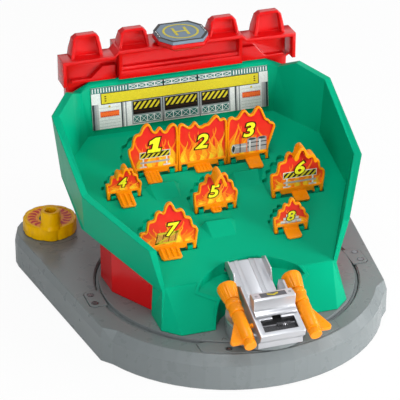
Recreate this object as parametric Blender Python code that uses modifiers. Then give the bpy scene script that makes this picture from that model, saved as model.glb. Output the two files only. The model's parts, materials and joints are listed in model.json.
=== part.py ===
"""Toy fire training center: a tabletop ball game on a grey base.

A dial turns a geared turntable that carries a red tower, a green target tray with eight
knock-down flames and a swivelling ball launcher with two nozzle grips.
Units are metres, +Z is up, the player sits at -Y, and the origin is on the table under the
turntable's axis.
"""
import math

import bmesh
import bpy
from mathutils import Matrix, Vector

# Clearances and drawing steps
GAP = 0.0003            # between pieces that touch
WELD = 0.000006         # points nearer than this are one point
FLATNESS = 0.00003      # a four-cornered face bent by more is split
RUNNING_GAP = 0.0004    # between pieces that turn in each other
OVERRUN = 0.002         # how far a cutter runs past what it cuts
ARC_STEPS = 24
ROUND_STEPS = 60
MIDDLE_STEPS = 40
NOZZLE_STEPS = 24
SMALL_STEPS = 16
PIN_STEPS = 12
SMOOTH_DEG = 35.0
FINE_SMOOTH_DEG = 25.0
ROUND_SMOOTH_DEG = 60.0

# Turntable and its well in the base
TABLE_RADIUS = 0.1075
TABLE_TOP = 0.0315
TABLE_THICKNESS = 0.003
OPENING_REACH = 0.004
OPENING_RADIUS = TABLE_RADIUS + OPENING_REACH
LIP_REACH = 0.0023
LIP_RADIUS = TABLE_RADIUS + LIP_REACH
LIP_THICKNESS = 0.0025
WELL_GAP = 0.0007
WELL_RADIUS = LIP_RADIUS + WELL_GAP
WELL_WALL = 0.0025
WELL_TOP_DROP = 0.001
TRACK_WIDTH = 0.0145
TRACK_INNER_RADIUS = WELL_RADIUS - TRACK_WIDTH
TRACK_LOW = 0.012
TRACK_THICKNESS = 0.0025
SKIRT_THICKNESS = 0.0025
HUB_WALL = 0.003
HUB_DEPTH = 0.0195
SPINDLE_RADIUS = 0.008
SPINDLE_TOP = 0.0255

# Grey base
RIM_HEIGHT = 0.0008           # the shell stops this far above the table
DECK_HEIGHT = 0.030
DECK_THICKNESS = 0.003
SHELL_WALL = 0.0025
DECK_RING_WIDTH = 0.0195
FRONT_RADIUS = OPENING_RADIUS + DECK_RING_WIDTH
CHAMFER_WIDTH = 0.0058
CHAMFER_RADIUS = FRONT_RADIUS - CHAMFER_WIDTH
CHAMFER_HEIGHT = 0.022
SIDE_CHAMFER = 0.002
ARC_FROM_DEG = 206.9
ARC_TO_DEG = 333.1
SIDE_FRONT_INSET = 0.0065
SIDE_FRONT_X = FRONT_RADIUS - SIDE_FRONT_INSET
SIDE_FRONT_Y = -0.050
SIDE_FLARE = 0.0235
SIDE_REAR_X = SIDE_FRONT_X + SIDE_FLARE
REAR_Y = 0.150
REAR_CORNER_RADIUS = 0.025
LOBE_RADIUS = 0.031
LOBE_TANGENT_DEG = 188.5
COVER_LOW = 0.0025
COVER_THICKNESS = 0.0025
FOOT_RADIUS = 0.007
MIDDLE_FOOT_RADIUS = 0.012
FOOT_FRONT_INSET = 0.020
FOOT_FRONT_DEG = 56.0
FOOT_REAR_X = 0.118
FOOT_REAR_Y = 0.116

# Retaining clips and their screws
CLIP_TOP = 0.0305
CLIP_REACH = 0.0007
CLIP_INNER_X = TABLE_RADIUS + CLIP_REACH
CLIP_WIDTH = 0.014
CLIP_OUTER_X = CLIP_INNER_X + CLIP_WIDTH
CLIP_CENTRE_Y = -0.00275
CLIP_HALF_LENGTH = 0.0127
CLIP_CORNER = 0.003
CLIP_POCKET_GAP = 0.0004
FRONT_CLIP_INNER_X = 0.050
FRONT_CLIP_END_X = 0.0583
FRONT_CLIP_WIDTH = 0.015
FRONT_CLIP_OUTER_RADIUS = CLIP_INNER_X + FRONT_CLIP_WIDTH
FRONT_CLIP_END_REACH = 0.0043
FRONT_CLIP_END_RADIUS = CLIP_INNER_X + FRONT_CLIP_END_REACH
CLIP_SCREW_REACH = 0.0088
CLIP_SCREW_X = CLIP_INNER_X + CLIP_SCREW_REACH
CLIP_SCREW_PITCH = 0.0134
FRONT_SCREW_X = 0.0363
FRONT_SCREW_Y = -math.sqrt(CLIP_SCREW_X ** 2 - FRONT_SCREW_X ** 2)
SCREW_HEAD_RADIUS = 0.0026
SCREW_HEAD_DEPTH = 0.0012
SCREW_SHANK_RADIUS = 0.0012
SCREW_LENGTH = 0.009

# Gear train
GEAR_MODULE = 0.002
RING_INSET = 0.0075
RING_TEETH = 2 * round((TABLE_RADIUS - RING_INSET) / GEAR_MODULE)
PINION_TEETH = 20
TRAIN_TEETH = 174       # all teeth on the line from the turntable's axis to the dial's
IDLER_TEETH = (TRAIN_TEETH - RING_TEETH - PINION_TEETH) // 2
RING_TOOTHED_DEG = 27.0
GEAR_THICKNESS = 0.005
GEAR_BORE_RADIUS = 0.004
GEAR_ADDENDUM_SHARE = 0.9
GEAR_DEDENDUM_SHARE = 1.3
GEAR_TOOTH_SHARE = 0.42
GEAR_PRESSURE_DEG = 20.0
RING_WIDTH = 0.020
RING_INNER_RADIUS = TABLE_RADIUS - RING_INSET - RING_WIDTH
RISER_INSET = 0.006
RISER_INNER_RADIUS = RING_INNER_RADIUS + RISER_INSET
RISER_WALL = 0.003
AXLE_LENGTH = 0.007
DIAL_X = -0.1195

# Dial
DIAL_RADIUS = 0.0233
DIAL_HEIGHT = 0.0118
DIAL_WALL = 0.002
DIAL_TOP_THICKNESS = 0.003
DIAL_LIFT = 0.0006
DIAL_FLUTES = 12
DIAL_FLUTE_STEPS = 5
DIAL_FLUTE_DEPTH = 0.0006
DIAL_SOCKET_WALL = 0.003
STEM_RADIUS = 0.006
STEM_HOLE_RADIUS = 0.007
POST_RADIUS = 0.0085
POST_BORE_RADIUS = 0.0046
POST_HEIGHT = 0.0149
POST_BORE_DEPTH = 0.014
POST_OFFSET = 0.0158
POST_ANGLE_DEG = 259.5
DIAL_SCREW_RADIUS = 0.0042
DIAL_SCREW_HEIGHT = 0.0016
DIAL_SCREW_SHANK = 0.0015
DIAL_SCREW_LENGTH = 0.008

# Green tray: the floor is a slope, and the walls lean outwards
FLOOR_FRONT_Y = -0.0577
FLOOR_FRONT_Z = 0.063
FLOOR_REAR_Y = 0.121
FLOOR_SLOPE_DEG = 16.7
FLOOR_THICKNESS = 0.005
FLOOR_FRONT_HALF = 0.0715
FLOOR_SIDE_X = 0.115
FLOOR_BEND_FRONT_Y = 0.024
FLOOR_BEND_REAR_Y = 0.086
FLOOR_CORNER_X = 0.097
FLOOR_CORNER_Y = 0.106
FLOOR_REAR_HALF = 0.084
TRAY_WALL = 0.003
RIM_WIDTH = 0.006
PEAK_RIM_X = 0.0048
PEAK_RIM_Y = 0.0042
BACK_END_INSET = 0.005
APRON_SINK = 0.001
APRON_INSIDE_DROP = 0.0045
WALL_FRONT_X = 0.085
WALL_FRONT_TOP = 0.098
WALL_BEND_X = 0.1216
WALL_BEND_Y = 0.0069
WALL_BEND_TOP = 0.1212
WALL_SHOULDER_X = 0.124
WALL_SHOULDER_Y = 0.088
WALL_SHOULDER_TOP = 0.1568
WALL_PEAK_X = 0.105
WALL_PEAK_Y = 0.1125
WALL_PEAK_TOP = 0.1652
WALL_NOTCH_X = 0.0947
WALL_NOTCH_Y = 0.1285
WALL_NOTCH_TOP = 0.157
WALL_REAR_Y = 0.1305
WALL_REAR_TOP = 0.164
WALL_REAR_INNER_Y = 0.1266
WALL_REAR_INNER_TOP = 0.161

# Front of the tray: legs, sloping apron and the funnel that the launcher swings in
APRON_FOOT_Y = -0.0834
APRON_FOOT_HALF = 0.0664
APRON_SIDE_Y = -0.0708
APRON_SIDE_HALF = 0.0796
APRON_REAR_Y = -0.044
APRON_WALL = 0.003
SWIVEL_Y = -0.095
FUNNEL_TOP_RADIUS = 0.056
FUNNEL_LOW_RADIUS = 0.0395
FUNNEL_TOP_Z = 0.0573
FUNNEL_LOW_Z = 0.0505
FUNNEL_WALL = 0.0025
TRAY_SCREW_RADIUS = 0.0018
TRAY_SCREW_HEIGHT = 0.0012
TRAY_SCREW_DEG = 106.0
TRAY_SCREW_Z = 0.0612

# Red tower under and behind the tray
TOWER_WALL = 0.0025
TOWER_FRONT_X = 0.071
TOWER_FRONT_Y = -0.041
TOWER_BEND_X = 0.0777
TOWER_BEND_Y = -0.0365
TOWER_SIDE_X = 0.0994
TOWER_SIDE_Y = 0.0019
TOWER_WAIST_X = 0.1008
TOWER_WAIST_Y = 0.030
TOWER_REAR_X = 0.0985
TOWER_REAR_Y = 0.137
TOWER_REAR_MID_X = 0.0394
TOWER_FLARE_Y = 0.063
TOWER_SEAT_DEPTH = 0.00275
TOWER_FOOT_INSET = 0.0023
TOWER_FOOT_RADIUS = TABLE_RADIUS - TOWER_FOOT_INSET
TOWER_FOOT_DEGS = (38.0, 62.0, 80.0)
TOWER_NOTCH_HALF = 0.052
TOWER_NOTCH_Y = -0.030
WALL_PANEL_Y = 0.1318
WALL_PANEL_HALF = 0.0985
WALL_PANEL_LOW = 0.1185
LEDGE_HALF = 0.1043
LEDGE_FRONT_Y = 0.121
LEDGE_REAR_Y = 0.140
LEDGE_TOP = 0.188
LEDGE_THICKNESS = 0.003
STAGE_HALF = 0.0553
STAGE_RISE = 0.0043
STAGE_SLOPE = 0.0039
STAGE_REAR_Y = 0.149
FASCIA_DROP = 0.022
FASCIA_BACK_Y = 0.129
FASCIA_BAR_DROP = 0.0125
FASCIA_MIDDLE = 0.0148
FASCIA_STEP = 0.0035
SHELF_FRONT_Y = 0.127
SHELF_DROP = 0.010
SHELF_LOW_DROP = 0.023
SHELF_END_SLOPE = 0.010
END_PLATE_WAIST = 0.0045
MERLON_TOP_WIDTH = 0.0216
MERLON_FOOT_WIDTH = 0.0287
MERLON_TOP = 0.2078
MERLON_FRONT_Y = 0.1262
MERLON_TOP_FRONT_Y = 0.1295
MERLON_TOP_REAR_Y = 0.1345
MERLON_RIM = 0.0022
MERLON_FOOT_RIM = 0.0031
MERLON_BACK_Y = 0.1325
MERLON_CORNER = 0.003
MERLON_OUTER_X = 0.0818
MERLON_INNER_X = 0.0402

# Landing pad
PAD_HALF_WIDTH = 0.0226
PAD_FRONT_Y = 0.1015
PAD_REAR_Y = 0.145
PAD_CORNER_X = 0.0084
PAD_CORNER_Y = 0.0125
PAD_TOP = 0.2024
PAD_PLATE_THICKNESS = 0.0028
PAD_PLATE_INSET = 0.0008
POD_TAPER = 0.0035

# Decal panel on the tray's back wall
PANEL_HALF = 0.0798
PANEL_LOW_SHARE = 0.11
PANEL_HEIGHT = 0.0375
PANEL_THICKNESS = 0.001

# Flames: (name, left edge, width, height, row, tab centre share, tab length, tab width, shape)
FLAME_THICKNESS = 0.0034
FLAME_RIM = 0.0019
FLAME_RECESS = 0.0015
FLAME_LIFT = 0.0008
AXIS_DROP = 0.0005
PIN_RADIUS = 0.0012
PIN_REACH = 0.0032
NOTCH_WIDTH = 0.0052
NOTCH_HEIGHT = 0.0044
NOTCH_INSET = 0.0052
FOOT_DEPTH = 0.0014
LUG_WIDTH = 0.0044
LUG_HALF_DEPTH = 0.0026
LUG_RISE = 0.0026
LUG_SLOT = 0.0031
POCKET_DEPTH = 0.0036
POCKET_GAP = 0.0008
POCKET_FRONT = 0.003
LEAST_MITRE_SHARE = 0.6
TAB_THICKNESS = 0.0018
TAB_ROOT_DROP = 0.0004
ROW_REAR_Y = 0.0685
ROW_FOUR_Y = 0.0473
ROW_FIVE_Y = 0.018
ROW_SIX_Y = 0.022
ROW_SEVEN_Y = -0.0187
ROW_EIGHT_Y = -0.0175

ONE_SHARES = ((0.12, 0.0), (0.03, 0.32), (0.0, 0.46), (0.01, 0.52), (0.06, 0.55), (0.08, 0.62),
              (0.10, 0.71), (0.13, 0.78), (0.17, 0.81), (0.23, 0.82), (0.28, 0.91), (0.34, 0.98),
              (0.40, 1.0), (0.45, 0.96), (0.50, 0.86), (0.55, 0.82), (0.59, 0.855), (0.64, 0.895),
              (0.69, 0.86), (0.72, 0.81), (0.76, 0.80), (0.81, 0.87), (0.87, 0.92), (0.92, 0.93),
              (0.97, 0.90), (1.0, 0.84), (1.0, 0.0))
TWO_SHARES = ((0.0, 0.0), (0.0, 0.84), (0.02, 0.89), (0.05, 0.92), (0.10, 0.92), (0.16, 0.88),
              (0.23, 0.84), (0.29, 0.88), (0.34, 0.925), (0.39, 0.89), (0.43, 0.83), (0.49, 0.82),
              (0.55, 0.85), (0.60, 0.85), (0.67, 0.915), (0.74, 0.985), (0.79, 1.0), (0.84, 0.96),
              (0.875, 0.91), (0.94, 0.92), (0.98, 0.90), (1.0, 0.85), (1.0, 0.0))
THREE_SHARES = ((0.0, 0.0), (0.0, 0.76), (0.02, 0.82), (0.05, 0.85), (0.11, 0.86), (0.17, 0.83),
                (0.21, 0.84), (0.26, 0.90), (0.31, 0.955), (0.36, 0.965), (0.41, 0.93), (0.46, 0.87),
                (0.51, 0.87), (0.56, 0.93), (0.60, 0.985), (0.65, 1.0), (0.70, 0.97), (0.74, 0.90),
                (0.785, 0.80), (0.82, 0.74), (0.87, 0.72), (0.91, 0.665), (0.96, 0.65), (1.0, 0.60),
                (0.99, 0.53), (0.96, 0.45), (0.92, 0.33), (0.87, 0.20), (0.86, 0.0))
PEAKED_SHARES = ((0.03, 0.0), (0.0, 0.37), (0.01, 0.42), (0.05, 0.44), (0.10, 0.44), (0.125, 0.54),
                 (0.15, 0.64), (0.19, 0.66), (0.245, 0.67), (0.27, 0.77), (0.30, 0.83), (0.35, 0.845),
                 (0.405, 0.81), (0.44, 0.92), (0.48, 0.985), (0.53, 1.0), (0.575, 0.955), (0.61, 0.86),
                 (0.645, 0.82), (0.69, 0.83), (0.74, 0.815), (0.775, 0.75), (0.80, 0.655), (0.84, 0.64),
                 (0.885, 0.605), (0.91, 0.50), (0.935, 0.43), (0.975, 0.41), (1.0, 0.355), (0.99, 0.2),
                 (0.965, 0.0))

FLAMES = (
    ("flame_1", -0.0641, 0.0431, 0.0460, ROW_REAR_Y, 0.452, 0.0139, 0.0126, ONE_SHARES),
    ("flame_2", -0.0203, 0.0431, 0.0449, ROW_REAR_Y, 0.482, 0.0082, 0.0146, TWO_SHARES),
    ("flame_3", 0.0235, 0.0428, 0.0478, ROW_REAR_Y, 0.519, 0.0134, 0.0128, THREE_SHARES),
    ("flame_4", -0.0902, 0.0309, 0.0290, ROW_FOUR_Y, 0.507, 0.0143, 0.0130, PEAKED_SHARES),
    ("flame_5", -0.0235, 0.0386, 0.0379, ROW_FIVE_Y, 0.492, 0.0050, 0.0090, PEAKED_SHARES),
    ("flame_6", 0.0459, 0.0484, 0.0454, ROW_SIX_Y, 0.516, 0.0115, 0.0130, PEAKED_SHARES),
    ("flame_7", -0.0813, 0.0494, 0.0429, ROW_SEVEN_Y, 0.486, 0.0116, 0.0176, PEAKED_SHARES),
    ("flame_8", 0.0343, 0.0307, 0.0287, ROW_EIGHT_Y, 0.490, 0.0110, 0.0130, PEAKED_SHARES),
)

# Hoods over the peaks: (depth, slope, outer shape, inner shape)
LEFT_HOOD_SHARES = ((0.245, 0.66), (0.27, 0.77), (0.30, 0.83), (0.35, 0.845), (0.405, 0.81), (0.44, 0.92),
                    (0.48, 0.985), (0.53, 1.0), (0.575, 0.955), (0.61, 0.86), (0.645, 0.78))
LEFT_HOLLOW_SHARES = ((0.60, 0.77), (0.57, 0.86), (0.53, 0.92), (0.49, 0.90), (0.46, 0.82), (0.42, 0.72),
                      (0.35, 0.77), (0.31, 0.75), (0.29, 0.65))
PEAK_HOOD_SHARES = ((0.39, 0.77), (0.44, 0.92), (0.48, 0.985), (0.53, 1.0), (0.575, 0.955), (0.61, 0.86),
                    (0.665, 0.72))
PEAK_HOLLOW_SHARES = ((0.615, 0.71), (0.57, 0.84), (0.525, 0.925), (0.485, 0.87), (0.44, 0.76))
RIGHT_HOOD_SHARES = ((0.38, 0.75), (0.44, 0.92), (0.48, 0.985), (0.53, 1.0), (0.575, 0.955), (0.61, 0.86),
                     (0.645, 0.82), (0.69, 0.83), (0.74, 0.815), (0.775, 0.75), (0.80, 0.66))
RIGHT_HOLLOW_SHARES = ((0.755, 0.65), (0.735, 0.72), (0.70, 0.77), (0.64, 0.75), (0.59, 0.79),
                       (0.55, 0.91), (0.52, 0.93), (0.48, 0.88), (0.43, 0.74))
HOODS = {
    "flame_4": (0.0064, 0.10, LEFT_HOOD_SHARES, LEFT_HOLLOW_SHARES),
    "flame_5": (0.0105, 0.25, PEAK_HOOD_SHARES, PEAK_HOLLOW_SHARES),
    "flame_6": (0.0068, 0.08, RIGHT_HOOD_SHARES, RIGHT_HOLLOW_SHARES),
}

SHAPE_COLUMN = 8

# Ramps on the tray floor: (left, right at the front; left, right at the rear; front, rear)
RAMP_HEIGHT = 0.0033
RAMP_SKIRT = 0.0055
RAMPS = (
    (-0.0495, -0.0286, -0.0510, -0.0297, 0.0363, 0.0517),
    (0.0209, 0.0426, 0.0232, 0.0450, 0.0365, 0.0516),
    (-0.0174, 0.0032, -0.0183, 0.0027, -0.0142, 0.0013),
)

# Launcher: its top line, chute and slide share one slope
LAUNCH_SLOPE_DEG = 19.8
PEDESTAL_RADIUS = 0.032
PEDESTAL_TOP = 0.044
PEDESTAL_BORE = 0.0048
SWIVEL_RADIUS = 0.0323
SWIVEL_THICKNESS = 0.0022
SWIVEL_STEM_RADIUS = 0.0044
BODY_HALF = 0.0187
BODY_REAR_Y = -0.080
BODY_FLOOR_THICKNESS = 0.0025
BODY_SKIRT_LOW = 0.037
BODY_SKIRT_Y = -0.1277
BODY_SKIRT_WALL = 0.002
BODY_SKIRT_TOP = 0.042
BODY_NOSE_Y = -0.1362
BODY_NOSE_LOW_Y = -0.1345
BODY_NOSE_LOW_Z = 0.046
RAIL_Y = -0.1173
RAIL_Z = 0.0583
CHEEK_TOP_Y = -0.086
CHEEK_REAR_Y = -0.0775
CHEEK_REAR_Z = 0.0655
CHEEK_NOTCH_Y = -0.0745
CHEEK_NOTCH_Z = 0.0575
CHEEK_INNER_HALF = 0.0168
TOP_PLATE_THICKNESS = 0.0027
CAVITY_HALF = 0.0145
CAVITY_FRONT_Y = -0.1322
CAVITY_REAR_Y = -0.098
WINDOW_HALF = 0.014
WINDOW_REAR_Y = -0.1203
WINDOW_FRONT_STEP = 0.00025
CHUTE_HALF = 0.0164
CHUTE_WALL = 0.0012
CHUTE_FLOOR = 0.0024
CHUTE_CREST_Y = -0.0485
CHUTE_CREST_Z = 0.0721
CHUTE_SHOULDER_Y = -0.0625
CHUTE_SHOULDER_Z = 0.0685
CHUTE_TOP_Z = 0.0672
CHUTE_END_RADIUS = 0.0552
CHUTE_LOW_Y = -0.0855
CHUTE_WALL_END_Y = -0.0655
CHUTE_TRACK_HALF = 0.0046
CHUTE_TRACK_DEPTH = 0.0007
CHUTE_LINE_X = 0.0085
CHUTE_LINE_HALF = 0.0003
CHUTE_LINE_DEPTH = 0.0003
BALL_RADIUS = 0.00475
BALL_Y = -0.084
SLIDER_HALF = 0.0174
SLIDER_REAR_Y = -0.1044
SLIDER_TOP_Z = 0.0730
SLIDER_FRONT_Y = -0.1157
SLIDER_FACE_Y = -0.1146
SLIDER_FACE_RISE = 0.0036
SLIDER_LIP_Y = -0.1190
SLIDER_LIP_HEIGHT = 0.0024
SLIDER_BEVEL = 0.0008
SLIDE_TRAVEL = 0.012
WEB_HALF = 0.003
WEB_SLOT_HALF = 0.0036
STRIKER_HEAD_HALF = 0.005
STRIKER_HEAD_FRONT_Y = -0.0910
STRIKER_HEAD_REAR_Y = -0.1000
STRIKER_HEAD_HEIGHT = 0.0062
WEB_FRONT_Y = -0.0985
WEB_REAR_Y = -0.1060
WEB_TOP_INSET = 0.0005
WEB_INSET = 0.001
SPRING_RADIUS = 0.0019
SPRING_WIRE_RADIUS = 0.00035
SPRING_TURNS = 8
SPRING_PITCH = 0.0014
SPRING_STEPS = 8
SPRING_LEFT_X = -0.0015
SPRING_Y = -0.1245
SPRING_Z = 0.0530
SPRING_PIN_RADIUS = 0.0010

# Nozzle grips
NOZZLE_X = 0.0272
NOZZLE_CAP_Y = -0.1363
NOZZLE_CAP_Z = 0.0450
NOZZLE_LENGTH = 0.0628
NOZZLE_CAP_RADIUS = 0.0050
NOZZLE_CAP_LENGTH = 0.0050
NOZZLE_BARREL_RADIUS = 0.0056
NOZZLE_RING_FROM_MOUTH = 0.0290
NOZZLE_COLLAR_FROM_MOUTH = 0.0165
NOZZLE_COLLAR_RADIUS = 0.0062
NOZZLE_MOUTH_RADIUS = 0.0082
NOZZLE_GROOVE = 0.0006
NOZZLE_BORE_RADIUS = 0.0062
NOZZLE_BORE_DEPTH = 0.006
FIN_THICKNESS = 0.0034
FIN_OUTER = 0.0146
FIN_TOP_ALONG = 0.0300
FIN_LOW_ALONG = 0.0040
FIN_CORNER = 0.002
NOZZLE_BOSS_RADIUS = 0.002
NOZZLE_BOSS_ALONG = 0.020
NOZZLE_BOSS_DROP = 0.0028

RED = ("red plastic", (0.72, 0.015, 0.012), 0.30, 0.0)
GREEN = ("green plastic", (0.0, 0.36, 0.18), 0.32, 0.0)
GREY = ("grey plastic", (0.27, 0.30, 0.32), 0.35, 0.0)
ORANGE = ("orange plastic", (0.95, 0.36, 0.01), 0.28, 0.0)
YELLOW = ("yellow plastic", (0.90, 0.62, 0.02), 0.30, 0.0)
SILVER = ("silver plastic", (0.74, 0.75, 0.78), 0.25, 0.3)
PAD_GREY = ("pad grey", (0.20, 0.22, 0.25), 0.45, 0.0)
PAPER = ("printed label", (0.80, 0.80, 0.76), 0.5, 0.0)
WHITE = ("white gear plastic", (0.82, 0.82, 0.80), 0.45, 0.0)
STEEL = ("steel", (0.60, 0.60, 0.62), 0.25, 1.0)
RUBBER = ("black rubber", (0.03, 0.03, 0.03), 0.8, 0.0)

SLOPE = math.radians(FLOOR_SLOPE_DEG)
LAUNCH_SLOPE = math.radians(LAUNCH_SLOPE_DEG)


def clear_scene():
    for old in list(bpy.data.objects):
        bpy.data.objects.remove(old, do_unlink=True)


def collection(name):
    made = bpy.data.collections.new(name)
    bpy.context.scene.collection.children.link(made)
    return made


def material(spec):
    name, colour, roughness, metallic = spec
    found = bpy.data.materials.get(name)
    if found:
        return found
    made = bpy.data.materials.new(name)
    made.use_nodes = True
    made.diffuse_color = (*colour, 1.0)
    shader = made.node_tree.nodes["Principled BSDF"]
    shader.inputs["Base Color"].default_value = (*colour, 1.0)
    shader.inputs["Roughness"].default_value = roughness
    shader.inputs["Metallic"].default_value = metallic
    return made


def place(obj):
    PARTS.objects.link(obj)
    bpy.context.view_layer.update()
    return obj


def settle(obj):
    """Turn an object with modifiers, or a curve, into a plain closed mesh in place."""
    bpy.context.view_layer.update()
    source = obj.evaluated_get(bpy.context.evaluated_depsgraph_get())
    mesh = bpy.data.meshes.new_from_object(source)
    mesh.transform(obj.matrix_world)
    work = bmesh.new()
    work.from_mesh(mesh)
    bmesh.ops.remove_doubles(work, verts=work.verts, dist=WELD)
    bmesh.ops.recalc_face_normals(work, faces=work.faces)
    work.to_mesh(mesh)
    work.free()
    made = bpy.data.objects.new(obj.name, mesh)
    bpy.data.objects.remove(obj, do_unlink=True)
    return place(made)


def flat_shape(name, outline, low, high):
    """A closed outline in X and Y between two heights."""
    curve = bpy.data.curves.new(name, "CURVE")
    curve.dimensions = "2D"
    curve.fill_mode = "BOTH"
    curve.extrude = (high - low) / 2
    spline = curve.splines.new("POLY")
    spline.points.add(len(outline) - 1)
    for point, (x, y) in zip(spline.points, outline):
        point.co = (x, y, 0.0, 1.0)
    spline.use_cyclic_u = True
    obj = place(bpy.data.objects.new(name, curve))
    obj.location.z = (high + low) / 2
    return settle(obj)


def turned_about(obj, matrix):
    obj.data.transform(matrix)
    return obj


def side_shape(name, profile, half_width, centre_x=0.0):
    """A closed outline in Y and Z, as seen from the right, across the width."""
    obj = flat_shape(name, profile, -half_width, half_width)
    swap = Matrix(((0, 0, 1, centre_x), (1, 0, 0, 0), (0, 1, 0, 0), (0, 0, 0, 1)))
    return turned_about(obj, swap)


def front_shape(name, outline, front_y, rear_y):
    """A closed outline in X and Z, as seen from the front, between two depths."""
    obj = flat_shape(name, outline, -rear_y, -front_y)
    return turned_about(obj, Matrix.Rotation(math.radians(90), 4, "X"))


def box(name, low, high):
    work = bmesh.new()
    size = Vector(high) - Vector(low)
    middle = (Vector(high) + Vector(low)) / 2
    bmesh.ops.create_cube(work, size=1.0, matrix=Matrix.Translation(middle) @ Matrix.Diagonal((*size, 1.0)))
    mesh = bpy.data.meshes.new(name)
    work.to_mesh(mesh)
    work.free()
    return place(bpy.data.objects.new(name, mesh))


def cylinder(name, radius, low, high, centre=(0.0, 0.0), steps=SMALL_STEPS):
    work = bmesh.new()
    move = Matrix.Translation((centre[0], centre[1], (low + high) / 2))
    bmesh.ops.create_cone(work, cap_ends=True, segments=steps, radius1=radius, radius2=radius,
                          depth=high - low, matrix=move)
    mesh = bpy.data.meshes.new(name)
    work.to_mesh(mesh)
    work.free()
    return place(bpy.data.objects.new(name, mesh))


def cross_cylinder(name, radius, left, right, y, z, steps=SMALL_STEPS):
    obj = cylinder(name, radius, left, right, steps=steps)
    swap = Matrix(((0, 0, 1, 0), (1, 0, 0, y), (0, 1, 0, z), (0, 0, 0, 1)))
    return turned_about(obj, swap)


def turned(name, profile, centre=(0.0, 0.0), steps=ROUND_STEPS):
    """A profile of (radius, height) points turned about a vertical axis."""
    mesh = bpy.data.meshes.new(name)
    points = [(radius, 0.0, height) for radius, height in profile]
    closed = all(radius > 0 for radius, height in profile)
    edges = [(i, i + 1) for i in range(len(points) - 1)]
    if closed:
        edges.append((len(points) - 1, 0))
    mesh.from_pydata(points, edges, [])
    obj = place(bpy.data.objects.new(name, mesh))
    obj.location = (centre[0], centre[1], 0.0)
    screw = obj.modifiers.new("turn", "SCREW")
    screw.steps = steps
    screw.render_steps = steps
    screw.use_merge_vertices = True
    screw.merge_threshold = WELD
    return settle(obj)


def loft(name, rings):
    """Bridge rings of equal length and close both ends."""
    work = bmesh.new()
    rows = [[work.verts.new(point) for point in ring] for ring in rings]
    count = len(rows[0])
    for low, high in zip(rows, rows[1:]):
        for i in range(count):
            j = (i + 1) % count
            work.faces.new((low[i], low[j], high[j], high[i]))
    work.faces.new(rows[0][::-1])
    work.faces.new(rows[-1])
    bmesh.ops.recalc_face_normals(work, faces=work.faces)
    bent = [face for face in work.faces if is_bent(face)]
    bmesh.ops.triangulate(work, faces=bent)
    mesh = bpy.data.meshes.new(name)
    work.to_mesh(mesh)
    work.free()
    return place(bpy.data.objects.new(name, mesh))


def is_bent(face):
    middle = face.calc_center_median()
    return any(abs((corner.co - middle).dot(face.normal)) > FLATNESS for corner in face.verts)


def combine(target, others, operation):
    for other in others:
        CUTTERS.objects.link(other)
        PARTS.objects.unlink(other)
        step = target.modifiers.new("step", "BOOLEAN")
        step.operation = operation
        step.solver = "EXACT"
        step.object = other
    made = settle(target)
    for other in others:
        bpy.data.objects.remove(other, do_unlink=True)
    return made


def cut(target, *cutters):
    return combine(target, cutters, "DIFFERENCE")


def join(target, *others):
    return combine(target, others, "UNION")


def finish(obj, name, spec, smooth_deg=SMOOTH_DEG, origin=None):
    """Name the piece, colour it, shade it and move its origin to its own axis."""
    obj.name = name
    obj.data.name = name
    obj.data.materials.clear()
    obj.data.materials.append(material(spec))
    obj.data.shade_smooth()
    obj.data.set_sharp_from_angle(angle=math.radians(smooth_deg))
    if origin:
        obj.data.transform(Matrix.Translation(-Vector(origin)))
        obj.location = origin
    return obj


def arc(centre, radius, from_deg, to_deg, steps):
    points = []
    for i in range(steps + 1):
        angle = math.radians(from_deg + (to_deg - from_deg) * i / steps)
        points.append((centre[0] + radius * math.cos(angle), centre[1] + radius * math.sin(angle)))
    return points


def mirrored(points):
    """Right-hand points, front to back, then their mirror images back to front."""
    return list(points) + [(-x, *rest) for x, *rest in reversed(points)]


def dial_centre():
    reach = GEAR_MODULE / 2 * TRAIN_TEETH
    return (DIAL_X, math.sqrt(reach ** 2 - DIAL_X ** 2))


def train_point(distance):
    """A point at a distance from the turntable's axis, on the line to the dial."""
    x, y = dial_centre()
    reach = math.hypot(x, y)
    return (x * distance / reach, y * distance / reach)


def train_angle():
    x, y = dial_centre()
    return math.atan2(y, x)


def base_outline(radius, inset):
    dial_x, dial_y = dial_centre()
    lobe = LOBE_RADIUS - inset
    rear = REAR_Y - inset
    points = arc((0.0, 0.0), radius, ARC_FROM_DEG, ARC_TO_DEG, ARC_STEPS)
    points.append((SIDE_FRONT_X - inset, SIDE_FRONT_Y + inset))
    corner = (SIDE_REAR_X - REAR_CORNER_RADIUS, REAR_Y - REAR_CORNER_RADIUS)
    points += arc(corner, REAR_CORNER_RADIUS - inset, 0.0, 90.0, SMALL_STEPS // 4)
    meet = math.degrees(math.asin((rear - dial_y) / lobe))
    points += arc((dial_x, dial_y), lobe, meet, LOBE_TANGENT_DEG, SMALL_STEPS // 2)
    points.append((-SIDE_FRONT_X + inset, SIDE_FRONT_Y + inset))
    return points


def ring_at(outline, height):
    return [(x, y, height) for x, y in outline]


def clip_outline(side, grow=0.0):
    inner = CLIP_INNER_X - grow
    outer = CLIP_OUTER_X + grow
    half = CLIP_HALF_LENGTH + grow
    points = [(inner, CLIP_CENTRE_Y - half), (outer - CLIP_CORNER, CLIP_CENTRE_Y - half),
              (outer, CLIP_CENTRE_Y - half + CLIP_CORNER), (outer, CLIP_CENTRE_Y + half - CLIP_CORNER),
              (outer - CLIP_CORNER, CLIP_CENTRE_Y + half), (inner, CLIP_CENTRE_Y + half)]
    return [(side * x, y) for x, y in points]


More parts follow.
